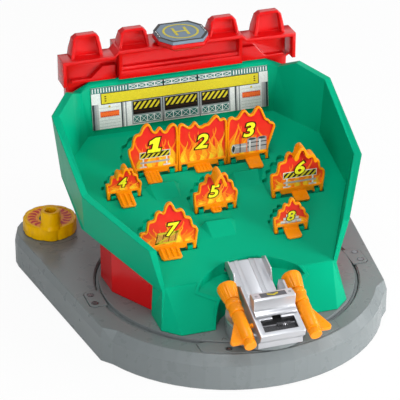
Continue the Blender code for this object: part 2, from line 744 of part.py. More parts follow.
def front_clip_outline(grow=0.0):
    """A plate along the front of the turntable's groove, with slanted ends."""
    inner = CLIP_INNER_X - grow
    outer = FRONT_CLIP_OUTER_RADIUS + grow
    inner_half = math.degrees(math.asin(FRONT_CLIP_INNER_X / inner))
    outer_half = math.degrees(math.asin(FRONT_CLIP_END_X / outer))
    end = FRONT_CLIP_END_RADIUS
    end_x = FRONT_CLIP_END_X + grow
    end_y = -math.sqrt(end ** 2 - FRONT_CLIP_END_X ** 2)
    points = arc((0.0, 0.0), outer, 270.0 - outer_half, 270.0 + outer_half, ARC_STEPS)
    points.append((end_x, end_y))
    points += arc((0.0, 0.0), inner, 270.0 + inner_half, 270.0 - inner_half, ARC_STEPS)
    points.append((-end_x, end_y))
    return points


def clip_screw_points():
    points = []
    for side in (-1, 1):
        for step in (-1, 1):
            points.append((side * CLIP_SCREW_X, CLIP_CENTRE_Y + step * CLIP_SCREW_PITCH / 2))
    points += [(-FRONT_SCREW_X, FRONT_SCREW_Y), (FRONT_SCREW_X, FRONT_SCREW_Y)]
    return points


def make_base():
    shell = loft("base_shell", [ring_at(base_outline(FRONT_RADIUS, 0.0), RIM_HEIGHT),
                                ring_at(base_outline(FRONT_RADIUS, 0.0), CHAMFER_HEIGHT),
                                ring_at(base_outline(CHAMFER_RADIUS, SIDE_CHAMFER), DECK_HEIGHT)])
    inside = DECK_HEIGHT - DECK_THICKNESS
    hollow = loft("hollow", [
        ring_at(base_outline(FRONT_RADIUS - SHELL_WALL, SHELL_WALL), -OVERRUN),
        ring_at(base_outline(FRONT_RADIUS - SHELL_WALL, SHELL_WALL), CHAMFER_HEIGHT),
        ring_at(base_outline(CHAMFER_RADIUS - SHELL_WALL, SIDE_CHAMFER + SHELL_WALL), inside)])
    above = DECK_HEIGHT + OVERRUN
    opening = cylinder("opening", OPENING_RADIUS, inside - OVERRUN, above, steps=ROUND_STEPS)
    shell = cut(shell, hollow, opening)
    track_top = TRACK_LOW + TRACK_THICKNESS
    well_outer = WELL_RADIUS + WELL_WALL
    well_top = DECK_HEIGHT - WELL_TOP_DROP
    well = turned("well", [
        (well_outer, well_top), (well_outer, TRACK_LOW), (TRACK_INNER_RADIUS, TRACK_LOW),
        (TRACK_INNER_RADIUS, track_top), (WELL_RADIUS, track_top), (WELL_RADIUS, well_top)])
    shell = join(shell, well)
    pocket_low = TABLE_TOP - TABLE_THICKNESS - GAP
    outlines = [clip_outline(-1, CLIP_POCKET_GAP), clip_outline(1, CLIP_POCKET_GAP),
                front_clip_outline(CLIP_POCKET_GAP)]
    pockets = [flat_shape("pocket", outline, pocket_low, above) for outline in outlines]
    holes = [cylinder("hole", SCREW_SHANK_RADIUS + GAP, inside - OVERRUN, above, point)
             for point in clip_screw_points()]
    holes.append(cylinder("stem_hole", STEM_HOLE_RADIUS, inside - OVERRUN, above, dial_centre()))
    shell = cut(shell, *pockets)
    shell = cut(shell, *holes)
    finish(shell, "base_shell", GREY)

    top = COVER_LOW + COVER_THICKNESS
    inset = SHELL_WALL + GAP
    cover = flat_shape("base_cover", base_outline(FRONT_RADIUS - inset, inset), COVER_LOW, top)
    idler = train_point(GEAR_MODULE / 2 * (RING_TEETH + IDLER_TEETH))
    posts = [cylinder("post", SPINDLE_RADIUS, COVER_LOW + OVERRUN / 2, SPINDLE_TOP)]
    for centre in (idler, dial_centre()):
        posts.append(cylinder("post", GEAR_BORE_RADIUS, COVER_LOW + OVERRUN / 2, top + AXLE_LENGTH, centre))
    finish(join(cover, *posts), "base_cover", GREY)
    reach = FRONT_RADIUS - FOOT_FRONT_INSET
    front_x = reach * math.cos(math.radians(FOOT_FRONT_DEG))
    front_y = -reach * math.sin(math.radians(FOOT_FRONT_DEG))
    spots = [(-front_x, front_y), (front_x, front_y),
             (-FOOT_REAR_X, FOOT_REAR_Y), (FOOT_REAR_X, FOOT_REAR_Y)]
    for number, spot in enumerate(spots, 1):
        foot = cylinder("foot", FOOT_RADIUS, 0.0, COVER_LOW - GAP, spot)
        finish(foot, f"foot_{number}", RUBBER)
    middle = cylinder("foot_centre", MIDDLE_FOOT_RADIUS, 0.0, COVER_LOW - GAP)
    finish(middle, "foot_centre", RUBBER)


def make_clips():
    low = TABLE_TOP - TABLE_THICKNESS
    points = clip_screw_points()
    clips = [("clip_left", clip_outline(-1), points[0:2]), ("clip_right", clip_outline(1), points[2:4]),
             ("clip_front", front_clip_outline(), points[4:])]
    for name, outline, spots in clips:
        plate = flat_shape(name, outline, low, CLIP_TOP)
        seats = []
        for spot in spots:
            seats.append(cylinder("seat", SCREW_HEAD_RADIUS + RUNNING_GAP, CLIP_TOP - SCREW_HEAD_DEPTH,
                                  CLIP_TOP + OVERRUN, spot))
            seats.append(cylinder("hole", SCREW_SHANK_RADIUS + GAP, low - OVERRUN, CLIP_TOP, spot))
        finish(cut(plate, *seats), name, GREY)
    head_low = CLIP_TOP - SCREW_HEAD_DEPTH + GAP
    for number, spot in enumerate(points, 1):
        tip = head_low - SCREW_LENGTH
        screw = turned("screw", [
            (0.0, CLIP_TOP), (SCREW_HEAD_RADIUS, CLIP_TOP), (SCREW_HEAD_RADIUS, head_low),
            (SCREW_SHANK_RADIUS, head_low), (SCREW_SHANK_RADIUS, tip), (0.0, tip)], spot, SMALL_STEPS)
        finish(screw, f"clip_screw_{number}", STEEL)


def make_turntable():
    under = TABLE_TOP - TABLE_THICKNESS
    lip_top = under - GAP
    lip_low = lip_top - LIP_THICKNESS
    skirt_low = TRACK_LOW + TRACK_THICKNESS + GAP
    skirt_inner = TABLE_RADIUS - SKIRT_THICKNESS
    hub_inner = SPINDLE_RADIUS + RUNNING_GAP
    hub_outer = hub_inner + HUB_WALL
    hub_low = under - HUB_DEPTH
    hub_roof = SPINDLE_TOP + RUNNING_GAP
    table = turned("turntable", [
        (0.0, TABLE_TOP), (TABLE_RADIUS, TABLE_TOP), (TABLE_RADIUS, lip_top), (LIP_RADIUS, lip_top),
        (LIP_RADIUS, lip_low), (TABLE_RADIUS, lip_low), (TABLE_RADIUS, skirt_low), (skirt_inner, skirt_low),
        (skirt_inner, under), (hub_outer, under), (hub_outer, hub_low), (hub_inner, hub_low),
        (hub_inner, hub_roof), (0.0, hub_roof)])
    finish(table, "turntable", GREY)


def gear_outline(teeth, phase, toothed_half=math.pi):
    """Straight-sided teeth on a circle, on all of it or on the arc about the phase."""
    pitch_radius = GEAR_MODULE * teeth / 2
    tip = pitch_radius + GEAR_MODULE * GEAR_ADDENDUM_SHARE
    root = pitch_radius - GEAR_MODULE * GEAR_DEDENDUM_SHARE
    thickness = math.pi * GEAR_MODULE * GEAR_TOOTH_SHARE
    lean = math.tan(math.radians(GEAR_PRESSURE_DEG))
    tip_half = (thickness / 2 - (tip - pitch_radius) * lean) / tip
    root_half = (thickness / 2 + (pitch_radius - root) * lean) / root
    points = []
    for k in range(teeth):
        turn = 2 * math.pi * k / teeth
        away = abs((turn + math.pi) % (2 * math.pi) - math.pi)
        centre = phase + turn
        steps = [(root, -root_half), (tip, -tip_half), (tip, tip_half), (root, root_half)]
        if away > toothed_half:
            steps = [(root, 0.0)] if k % 2 else []
        points += [(r * math.cos(centre + a), r * math.sin(centre + a)) for r, a in steps]
    return points


def make_gears():
    low = COVER_LOW + COVER_THICKNESS + RUNNING_GAP
    high = low + GEAR_THICKNESS
    toward = train_angle()
    away = toward + math.pi
    outline = gear_outline(RING_TEETH, toward, math.radians(RING_TOOTHED_DEG))
    ring = flat_shape("ring_gear", outline, low, high)
    bore = cylinder("bore", RING_INNER_RADIUS, low - OVERRUN, high + OVERRUN, steps=ROUND_STEPS)
    ring = cut(ring, bore)
    riser_top = TABLE_TOP - TABLE_THICKNESS - GAP
    riser_outer = RISER_INNER_RADIUS + RISER_WALL
    riser_low = high - OVERRUN / 2
    riser = turned("riser", [(riser_outer, riser_top), (riser_outer, riser_low),
                             (RISER_INNER_RADIUS, riser_low), (RISER_INNER_RADIUS, riser_top)])
    finish(join(ring, riser), "ring_gear", WHITE)

    idler_centre = train_point(GEAR_MODULE / 2 * (RING_TEETH + IDLER_TEETH))
    outline = gear_outline(IDLER_TEETH, away + math.pi / IDLER_TEETH)
    idler = flat_shape("idler_gear", outline, low, high)
    turned_about(idler, Matrix.Translation((*idler_centre, 0.0)))
    bore = cylinder("bore", GEAR_BORE_RADIUS + RUNNING_GAP, low - OVERRUN, high + OVERRUN, idler_centre)
    finish(cut(idler, bore), "idler_gear", WHITE, origin=(*idler_centre, low))

    centre = dial_centre()
    pinion = flat_shape("pinion", gear_outline(PINION_TEETH, away + math.pi / PINION_TEETH), low, high)
    turned_about(pinion, Matrix.Translation((*centre, 0.0)))
    stem_top = DECK_HEIGHT + DIAL_LIFT + DIAL_HEIGHT - DIAL_TOP_THICKNESS - GAP
    stem = cylinder("stem", STEM_RADIUS, high - OVERRUN, stem_top, centre)
    pinion = join(pinion, stem)
    axle_top = COVER_LOW + COVER_THICKNESS + AXLE_LENGTH
    bore = cylinder("bore", GEAR_BORE_RADIUS + RUNNING_GAP, low - OVERRUN, axle_top + RUNNING_GAP, centre)
    pilot_low = stem_top - DIAL_SCREW_LENGTH
    pilot = cylinder("pilot", DIAL_SCREW_SHANK + GAP, pilot_low, stem_top + OVERRUN, centre)
    finish(cut(pinion, bore, pilot), "pinion", WHITE, origin=(*centre, low))


def make_dial():
    centre = dial_centre()
    low = DECK_HEIGHT + DIAL_LIFT
    top = low + DIAL_HEIGHT
    rim = []
    steps = DIAL_FLUTES * DIAL_FLUTE_STEPS
    for i in range(steps):
        angle = 2 * math.pi * i / steps
        radius = DIAL_RADIUS - DIAL_FLUTE_DEPTH * (1 - math.cos(DIAL_FLUTES * angle)) / 2
        rim.append((centre[0] + radius * math.cos(angle), centre[1] + radius * math.sin(angle)))
    dial = flat_shape("dial", rim, low, top)
    roof = top - DIAL_TOP_THICKNESS
    inner = DIAL_RADIUS - DIAL_FLUTE_DEPTH - DIAL_WALL
    hollow = cylinder("hollow", inner, low - OVERRUN, roof, centre, MIDDLE_STEPS)
    dial = cut(dial, hollow)
    turn = math.radians(POST_ANGLE_DEG)
    post_centre = (centre[0] + POST_OFFSET * math.cos(turn), centre[1] + POST_OFFSET * math.sin(turn))
    peak = top + POST_HEIGHT
    middle = top - DIAL_TOP_THICKNESS / 2
    post = cylinder("post", POST_RADIUS, middle, peak, post_centre, NOZZLE_STEPS)
    socket_inner = STEM_RADIUS + GAP
    socket = cylinder("socket", socket_inner + DIAL_SOCKET_WALL, low, middle, centre)
    dial = join(dial, post, socket)
    bore = cylinder("bore", socket_inner, low - OVERRUN, roof, centre)
    screw_hole = cylinder("screw_hole", DIAL_SCREW_SHANK + GAP, low, top + OVERRUN, centre)
    post_bore = cylinder("post_bore", POST_BORE_RADIUS, peak - POST_BORE_DEPTH, peak + OVERRUN, post_centre)
    finish(cut(dial, bore, screw_hole, post_bore), "dial", YELLOW, origin=(*centre, low))
    head = top + GAP
    tip = head - DIAL_TOP_THICKNESS - DIAL_SCREW_LENGTH / 2
    crown = head + DIAL_SCREW_HEIGHT
    screw = turned("dial_screw", [
        (0.0, crown), (DIAL_SCREW_RADIUS / 2, crown), (DIAL_SCREW_RADIUS, head + DIAL_SCREW_HEIGHT / 2),
        (DIAL_SCREW_RADIUS, head), (DIAL_SCREW_SHANK, head), (DIAL_SCREW_SHANK, tip), (0.0, tip)],
        centre, SMALL_STEPS)
    finish(screw, "dial_screw", STEEL, origin=(*centre, head))


def floor_z(y):
    return FLOOR_FRONT_Z + (y - FLOOR_FRONT_Y) * math.tan(SLOPE)


def floor_ring(points, drop):
    return [(x, y, floor_z(y) - drop) for x, y in points]


def tray_wall():
    """Both side walls and the back wall as one leaning band round the floor."""
    slab = FLOOR_THICKNESS
    rows = [
        ((FLOOR_FRONT_HALF, FLOOR_FRONT_Y), (WALL_FRONT_X, FLOOR_FRONT_Y), WALL_FRONT_TOP,
         (RIM_WIDTH, 0.0)),
        ((FLOOR_SIDE_X, FLOOR_BEND_FRONT_Y), (WALL_BEND_X, WALL_BEND_Y), WALL_BEND_TOP,
         (RIM_WIDTH, -RIM_WIDTH / 2)),
        ((FLOOR_SIDE_X, FLOOR_BEND_REAR_Y), (WALL_SHOULDER_X, WALL_SHOULDER_Y), WALL_SHOULDER_TOP,
         (RIM_WIDTH, RIM_WIDTH / 3)),
        ((FLOOR_CORNER_X, FLOOR_CORNER_Y), (WALL_PEAK_X, WALL_PEAK_Y), WALL_PEAK_TOP,
         (PEAK_RIM_X, PEAK_RIM_Y)),
        ((FLOOR_REAR_HALF, FLOOR_REAR_Y), (WALL_NOTCH_X, WALL_NOTCH_Y), WALL_NOTCH_TOP,
         (RIM_WIDTH, PEAK_RIM_X)),
    ]
    sections = []
    for (inner_x, inner_y), (outer_x, outer_y), top, (rim_x, rim_y) in rows:
        lean_x = outer_x - inner_x - rim_x
        away = Vector((outer_x - inner_x, outer_y - inner_y + rim_y)).normalized() * TRAY_WALL
        away.x = max(away.x, TRAY_WALL / 2)
        low_x = inner_x + away.x
        low_y = inner_y + (away.y if inner_y > FLOOR_FRONT_Y else 0.0)
        sections.append([
            (low_x, low_y, floor_z(low_y) - slab),
            (outer_x, outer_y, top),
            (inner_x + lean_x, outer_y - rim_y, top),
            (inner_x, inner_y, floor_z(inner_y) - slab / 2),
        ])
    back = FLOOR_REAR_HALF - BACK_END_INSET
    low_y = FLOOR_REAR_Y + TRAY_WALL
    sections.append([
        (back, low_y, floor_z(low_y) - slab),
        (back, WALL_REAR_Y, WALL_REAR_TOP),
        (back, WALL_REAR_INNER_Y, WALL_REAR_INNER_TOP),
        (back, FLOOR_REAR_Y, floor_z(FLOOR_REAR_Y) - slab / 2),
    ])
    mirror = [[(-x, y, z) for x, y, z in section] for section in reversed(sections)]
    return loft("tray_wall", sections + mirror)


def floor_outline(grow):
    side = FLOOR_SIDE_X + grow
    return mirrored([
        (FLOOR_FRONT_HALF + grow / 2, FLOOR_FRONT_Y), (side, FLOOR_BEND_FRONT_Y), (side, FLOOR_BEND_REAR_Y),
        (FLOOR_CORNER_X + grow, FLOOR_CORNER_Y + grow / 2),
        (FLOOR_REAR_HALF + grow / 2, FLOOR_REAR_Y + grow)])


def apron(name, inset, low, top_drop):
    side = APRON_SIDE_HALF - inset
    half = FLOOR_FRONT_HALF - inset
    front = FLOOR_FRONT_Y + inset
    rear = APRON_REAR_Y - inset
    foot = [(APRON_FOOT_HALF - inset, APRON_FOOT_Y + inset), (side, APRON_SIDE_Y + inset), (side, rear)]
    top = [(half, front), (half + TRAY_WALL, front), (side - TRAY_WALL / 2, rear)]
    return loft(name, [ring_at(mirrored(foot), low), floor_ring(mirrored(top), top_drop)])


def funnel(name, grow, low, high):
    """The round bay in front of the floor, or with growth the wall round it."""
    inner = FUNNEL_LOW_RADIUS + grow
    outer = FUNNEL_TOP_RADIUS + grow
    return turned(name, [(0.0, high), (outer, high), (outer, FUNNEL_TOP_Z - grow / 2),
                         (inner, FUNNEL_LOW_Z - grow / 2), (inner, low), (0.0, low)], (0.0, SWIVEL_Y))


def ramp(front_left, front_right, rear_left, rear_right, front, rear):
    sink = FLOOR_THICKNESS / 2
    foot = [(front_left, front), (front_right, front), (rear_right + RAMP_SKIRT, rear),
            (rear_left - RAMP_SKIRT, rear)]
    top = [(front_left, front, floor_z(front)), (front_right, front, floor_z(front)),
           (rear_right, rear, floor_z(rear) + RAMP_HEIGHT), (rear_left, rear, floor_z(rear) + RAMP_HEIGHT)]
    return loft("ramp", [floor_ring(foot, sink), floor_ring(foot, GAP), top])


def flame_outline(flame, grow=0.0, feet=0.0):
    """The flame in X and height above its hinge line."""
    left, width, height = flame[1:4]
    shares = flame[SHAPE_COLUMN]
    centre = left + width / 2
    wide = 1 + 2 * grow / width
    tall = 1 + 2 * grow / height
    points = []
    for across, up in shares:
        x = centre + (across * width - width / 2) * wide
        z = FLAME_LIFT + (up * height - height / 2) * tall + height / 2
        if up == 0.0:
            z = -feet
        points.append((x, z))
    return points


def moved_out(outline, amount):
    """Each point of a closed outline moved along the outline's own normal there."""
    points = [Vector(point) for point in outline]
    ends = list(zip(points[-1:] + points[:-1], points, points[1:] + points[:1]))
    turn = math.copysign(1.0, sum(here.x * after.y - after.x * here.y for before, here, after in ends))
    moved = []
    for before, here, after in ends:
        run = (after - here).normalized() + (here - before).normalized()
        outward = Vector((run.y, -run.x)).normalized() * turn
        share = max(run.length / 2, LEAST_MITRE_SHARE)
        moved.append(tuple(here + outward * amount / share))
    return moved


def hinge_of(flame):
    row = flame[4]
    return (flame[1] + flame[2] / 2, row, floor_z(row) - AXIS_DROP)


def notch_centres(flame):
    left, width = flame[1], flame[2]
    bottom = [share for share, up in flame[SHAPE_COLUMN] if up == 0.0]
    first, last = min(bottom), max(bottom)
    return (left + first * width + NOTCH_INSET, left + last * width - NOTCH_INSET)


def lay_back(obj, hinge):
    """Turn a shape made upright at the hinge so that it lies on the floor behind it."""
    turn = Matrix.Rotation(SLOPE - math.radians(90), 4, "X")
    move = Matrix.Translation((0.0, hinge[1], hinge[2]))
    return turned_about(obj, move @ turn)


def upright(obj, hinge):
    return turned_about(obj, Matrix.Translation((0.0, hinge[1], hinge[2])))


def pocket_cutter(flame):
    hinge = hinge_of(flame)
    outline = moved_out(flame_outline(flame, 0.0, POCKET_FRONT), POCKET_GAP)
    depth = POCKET_DEPTH - AXIS_DROP
    return lay_back(front_shape("pocket", outline, -OVERRUN * 3, depth), hinge)


def lug(flame, x):
    hinge = hinge_of(flame)
    half = LUG_WIDTH / 2
    low = -FLOOR_THICKNESS + AXIS_DROP * 2
    block = box("lug", (x - half, -LUG_HALF_DEPTH, low), (x + half, LUG_HALF_DEPTH, LUG_RISE))
    slot = box("slot", (x - LUG_WIDTH, -LUG_SLOT / 2, -PIN_RADIUS - RUNNING_GAP),
               (x + LUG_WIDTH, LUG_SLOT / 2, LUG_RISE + OVERRUN))
    return upright(cut(block, slot), hinge)


def make_tray():
    tray = tray_wall()
    under = floor_ring(floor_outline(TRAY_WALL), FLOOR_THICKNESS)
    slab = loft("slab", [under, floor_ring(floor_outline(0.0), 0.0)])
    low = TABLE_TOP + GAP
    front = apron("apron", 0.0, low, APRON_SINK)
    front = cut(front, apron("inside", APRON_WALL, low - OVERRUN, APRON_INSIDE_DROP))
    collar = funnel("collar", FUNNEL_WALL, low, floor_z(FLOOR_FRONT_Y) + OVERRUN)
    tray = join(tray, slab, front, collar)
    steep = (FLOOR_FRONT_Z - low) / (FLOOR_FRONT_Y - APRON_FOOT_Y)
    far = SWIVEL_Y - FUNNEL_TOP_RADIUS - FUNNEL_WALL * 2
    back = SWIVEL_Y + FUNNEL_TOP_RADIUS + FUNNEL_WALL * 2
    roof = WALL_REAR_TOP
    play = [(far, FLOOR_FRONT_Z - (FLOOR_FRONT_Y - far) * steep), (FLOOR_FRONT_Y, FLOOR_FRONT_Z),
            (back, floor_z(back)), (back, roof), (far, roof)]
    clear = side_shape("clear", play, FUNNEL_TOP_RADIUS + FUNNEL_WALL * 2)
    bay = funnel("bay", 0.0, low - OVERRUN, roof)
    tray = cut(tray, clear, bay)
    tray = join(tray, *[ramp(*sizes) for sizes in RAMPS])
    tray = cut(tray, *[pocket_cutter(flame) for flame in FLAMES])
    tray = join(tray, *[lug(flame, x) for flame in FLAMES for x in notch_centres(flame)])
    finish(tray, "target_tray", GREEN, FINE_SMOOTH_DEG)

    for angle, name in ((TRAY_SCREW_DEG, "tray_screw_left"), (180.0 - TRAY_SCREW_DEG, "tray_screw_right")):
        face = FUNNEL_TOP_RADIUS * math.cos(math.pi / ROUND_STEPS) - GAP
        screw = cylinder(name, TRAY_SCREW_RADIUS, 0.0, TRAY_SCREW_HEIGHT, steps=SMALL_STEPS // 2)
        spin = Matrix.Rotation(math.radians(angle), 4, "Z")
        seat = Matrix.Translation((face, 0.0, TRAY_SCREW_Z)) @ Matrix.Rotation(math.radians(-90), 4, "Y")
        spot = Matrix.Translation((0.0, SWIVEL_Y, 0.0)) @ spin @ seat
        finish(turned_about(screw, spot), name, STEEL)


def make_flames():
    half = FLAME_THICKNESS / 2
    for flame in FLAMES:
        name, left, width, height, row, tab, reach, tab_width = flame[:SHAPE_COLUMN]
        plate = front_shape(name, flame_outline(flame, 0.0, FOOT_DEPTH), -half, half)
        inner = [(x, z) for x, z in flame_outline(flame, -FLAME_RIM, 0.0)]
        inner = [(x, max(z, FLAME_LIFT + NOTCH_HEIGHT + FLAME_RIM / 2)) for x, z in inner]
        recess = front_shape("recess", inner, -half - OVERRUN, -half + FLAME_RECESS)
        first, last = notch_centres(flame)
        cutters = [recess]
        for x in (first, last):
            cutters.append(box("notch", (x - NOTCH_WIDTH / 2, -half - OVERRUN, -FOOT_DEPTH - OVERRUN),
                               (x + NOTCH_WIDTH / 2, half + OVERRUN, NOTCH_HEIGHT)))
        between = (first + NOTCH_WIDTH / 2, last - NOTCH_WIDTH / 2)
        cutters.append(box("underside", (between[0] - OVERRUN, -half - OVERRUN, -FOOT_DEPTH - OVERRUN),
                           (between[1] + OVERRUN, half + OVERRUN, FLAME_LIFT)))
        plate = cut(plate, *cutters)
        added = []
        for x in (first, last):
            pin = cross_cylinder("pin", PIN_RADIUS, x - PIN_REACH, x + PIN_REACH, 0.0, 0.0, PIN_STEPS)
            added.append(pin)
        tab_x = left + tab * width
        root = FLAME_LIFT + AXIS_DROP
        drop = (reach + half) * math.tan(SLOPE)
        inside = -half + FLAME_RIM / 2
        along = [(inside, root + TAB_THICKNESS), (inside, root - TAB_ROOT_DROP),
                 (-half, root - half * math.tan(SLOPE)), (-half - reach, root - drop),
                 (-half - reach, root - drop + TAB_THICKNESS), (-half, root + TAB_THICKNESS)]
        added.append(side_shape("tab", along, tab_width / 2, tab_x))
        if name in HOODS:
            depth, slope, outer, hollow = HOODS[name]
            band = [(left + across * width, FLAME_LIFT + up * height) for across, up in outer + hollow]
            hood = front_shape("hood", band, -depth, 0.0)
            lean = Matrix.Identity(4)
            lean[2][1] = slope
            added.append(turned_about(hood, Matrix.Translation((0.0, FLAME_RECESS / 2 - half, 0.0)) @ lean))
        plate = join(plate, *added)
        hinge = hinge_of(flame)
        finish(upright(plate, hinge), name, ORANGE, origin=hinge)


def tower_front(wall):
    return [(TOWER_FRONT_X - wall / 2, TOWER_FRONT_Y + wall), (TOWER_BEND_X - wall, TOWER_BEND_Y + wall),
            (TOWER_SIDE_X - wall, TOWER_SIDE_Y + wall / 2), (TOWER_WAIST_X - wall, TOWER_WAIST_Y)]


def tower_foot(wall):
    points = tower_front(wall)
    radius = TOWER_FOOT_RADIUS - wall
    for angle in TOWER_FOOT_DEGS:
        points.append((radius * math.cos(math.radians(angle)), radius * math.sin(math.radians(angle))))
    return mirrored(points)


def tower_top(wall):
    waist_x = TOWER_WAIST_X - wall
    rear_x = TOWER_REAR_X - wall
    rear_y = TOWER_REAR_Y - wall
    points = [(waist_x, TOWER_FLARE_Y), (rear_x, rear_y), (TOWER_REAR_MID_X, rear_y)]
    return mirrored(tower_front(wall) + points)


def make_tower():
    """Upright at the front and sides, and leaning out over the groove at the rear."""
    low = TABLE_TOP + GAP
    drop = FLOOR_THICKNESS + GAP
    wall = TOWER_WALL
    tower = loft("tower", [ring_at(tower_foot(0.0), low), floor_ring(tower_top(0.0), drop)])
    hollow = loft("hollow", [ring_at(tower_foot(wall), low - OVERRUN),
                             floor_ring(tower_top(wall), drop - OVERRUN)])
    high = floor_z(TOWER_NOTCH_Y)
    gap = box("gap", (-TOWER_NOTCH_HALF, TOWER_FRONT_Y - OVERRUN, low - OVERRUN),
              (TOWER_NOTCH_HALF, TOWER_NOTCH_Y, high))
    seat_half = TOWER_REAR_X - wall / 2
    seat_low = floor_z(TOWER_REAR_Y) - drop - wall * 2
    seat = box("seat", (-seat_half, TOWER_REAR_Y - TOWER_SEAT_DEPTH, seat_low),
               (seat_half, TOWER_REAR_Y + GAP, WALL_PANEL_LOW - GAP))
    finish(join(cut(tower, hollow, gap), seat), "lower_housing", RED)


def merlon(centre):
    top = MERLON_TOP_WIDTH / 2
    foot = MERLON_FOOT_WIDTH / 2
    low = LEDGE_TOP - LEDGE_THICKNESS / 2
    corner = MERLON_CORNER
    lean = (foot - top) / (MERLON_TOP - LEDGE_TOP) * corner
    bend = MERLON_TOP - corner
    outline = [(-foot, low), (foot, low), (top + lean, bend),
               (top - corner, MERLON_TOP), (corner - top, MERLON_TOP), (-top - lean, bend)]
    floor = LEDGE_TOP + (STAGE_RISE if abs(centre) < STAGE_HALF else 0.0)
    base = foot - MERLON_FOOT_RIM
    side = top - MERLON_RIM
    under = MERLON_TOP - MERLON_RIM
    inner = [(-base, floor), (base, floor), (side, bend), (top - corner, under), (corner - top, under),
             (-side, bend)]
    outline = [(centre + x, z) for x, z in outline]
    inner = [(centre + x, z) for x, z in inner]
    block = front_shape("merlon", outline, MERLON_FRONT_Y, LEDGE_REAR_Y)
    recess = front_shape("recess", inner, MERLON_FRONT_Y - OVERRUN, MERLON_BACK_Y)
    roof = MERLON_TOP + OVERRUN
    ahead = MERLON_FRONT_Y - OVERRUN
    behind = LEDGE_REAR_Y + OVERRUN
    slopes = []
    for far, peak in ((ahead, MERLON_TOP_FRONT_Y), (behind, MERLON_TOP_REAR_Y)):
        wedge = [(far, floor), (peak, roof), (far, roof)]
        slopes.append(side_shape("slope", wedge, foot + OVERRUN, centre))
    return cut(block, recess, *slopes)


def make_back_wall():
    thin = LEDGE_THICKNESS
    top = LEDGE_TOP
    panel = box("back_wall", (-WALL_PANEL_HALF, WALL_PANEL_Y, WALL_PANEL_LOW),
                (WALL_PANEL_HALF, WALL_PANEL_Y + TOWER_WALL, top - thin / 2))
    foot = box("foot", (-WALL_PANEL_HALF, WALL_PANEL_Y, WALL_PANEL_LOW),
               (WALL_PANEL_HALF, LEDGE_REAR_Y, WALL_PANEL_LOW + thin))
    inner = STAGE_HALF + STAGE_SLOPE
    raised = top + STAGE_RISE
    fascia_low = top - FASCIA_DROP
    above = [(-LEDGE_HALF, top), (-inner, top), (-STAGE_HALF, raised), (STAGE_HALF, raised),
             (inner, top), (LEDGE_HALF, top)]
    below = [(x, z - thin) for x, z in reversed(above)]
    ledge = front_shape("ledge", above + below, LEDGE_FRONT_Y, LEDGE_REAR_Y)
    stage = box("stage", (-STAGE_HALF, LEDGE_REAR_Y - thin, fascia_low), (STAGE_HALF, STAGE_REAR_Y, raised))
    front = LEDGE_FRONT_Y + GAP
    rear = WALL_PANEL_Y + thin / 2
    first = front + FASCIA_STEP
    middle = top - FASCIA_MIDDLE
    ahead = LEDGE_FRONT_Y - OVERRUN
    profile = [(front, raised - thin / 2), (front, fascia_low),
               (rear, fascia_low), (rear, raised - thin / 2)]
    fascia = side_shape("fascia", profile, STAGE_HALF)
    opening = [(ahead, raised - thin / 4), (ahead, middle), (first, middle), (first, top - FASCIA_BAR_DROP),
               (FASCIA_BACK_Y, top - FASCIA_BAR_DROP), (FASCIA_BACK_Y, raised - thin / 4)]
    fascia = cut(fascia, side_shape("opening", opening, STAGE_HALF - thin))
    pieces = [foot, ledge, stage, fascia]
    shelf_high = top - SHELF_DROP
    shelf_low = top - SHELF_LOW_DROP
    for side in (-1, 1):
        near = STAGE_HALF + thin / 2
        far = WALL_PANEL_HALF - thin
        shelf = [(near, shelf_low), (far, shelf_low), (far, shelf_low + thin),
                 (WALL_PANEL_HALF - SHELF_END_SLOPE * 2, shelf_low + thin),
                 (WALL_PANEL_HALF - SHELF_END_SLOPE * 3, shelf_high), (near, shelf_high)]
        shelf = [(side * x, z) for x, z in shelf]
        pieces.append(front_shape("shelf", shelf, SHELF_FRONT_Y, rear))
        edge = LEDGE_HALF - thin
        waist = LEDGE_HALF - END_PLATE_WAIST
        cheek = [(LEDGE_HALF, top - thin / 2), (LEDGE_HALF, shelf_low), (waist, shelf_low - thin),
                 (WALL_PANEL_HALF, WALL_PANEL_LOW), (far, WALL_PANEL_LOW), (waist - thin, shelf_low - thin),
                 (edge, shelf_low), (edge, top - thin / 2)]
        cheek = [(side * x, z) for x, z in cheek]
        pieces.append(front_shape("cheek", cheek, WALL_REAR_Y + thin / 2, LEDGE_REAR_Y))
        end = [(LEDGE_HALF, top - thin / 2), (LEDGE_HALF, shelf_low),
               (edge, shelf_low), (edge, top - thin / 2)]
        end = [(side * x, z) for x, z in end]
        pieces.append(front_shape("end", end, LEDGE_FRONT_Y, LEDGE_REAR_Y - GAP))
        pieces.append(merlon(side * MERLON_OUTER_X))
        pieces.append(merlon(side * MERLON_INNER_X))
    finish(join(panel, *pieces), "back_wall", RED, FINE_SMOOTH_DEG)


def octagon(inset):
    half = PAD_HALF_WIDTH - inset
    front = PAD_FRONT_Y + inset
    rear = PAD_REAR_Y - inset
    return [(half - PAD_CORNER_X, front), (half, front + PAD_CORNER_Y), (half, rear - PAD_CORNER_Y),
            (half - PAD_CORNER_X, rear), (PAD_CORNER_X - half, rear), (-half, rear - PAD_CORNER_Y),
            (-half, front + PAD_CORNER_Y), (PAD_CORNER_X - half, front)]


def make_pad():
    low = LEDGE_TOP + STAGE_RISE + GAP
    pod_top = PAD_TOP - PAD_PLATE_THICKNESS - GAP
    pod = loft("pod", [ring_at(octagon(POD_TAPER), low), ring_at(octagon(0.0), (low + pod_top) / 2),
                       ring_at(octagon(0.0), pod_top)])
    finish(pod, "landing_pod", RED)
    plate = flat_shape("plate", octagon(PAD_PLATE_INSET), pod_top + GAP, PAD_TOP)
    finish(plate, "landing_plate", PAD_GREY)


def back_wall_lean():
    rise = WALL_REAR_INNER_TOP - floor_z(FLOOR_REAR_Y) + FLOOR_THICKNESS / 2
    return math.atan2(WALL_REAR_INNER_Y - FLOOR_REAR_Y, rise)


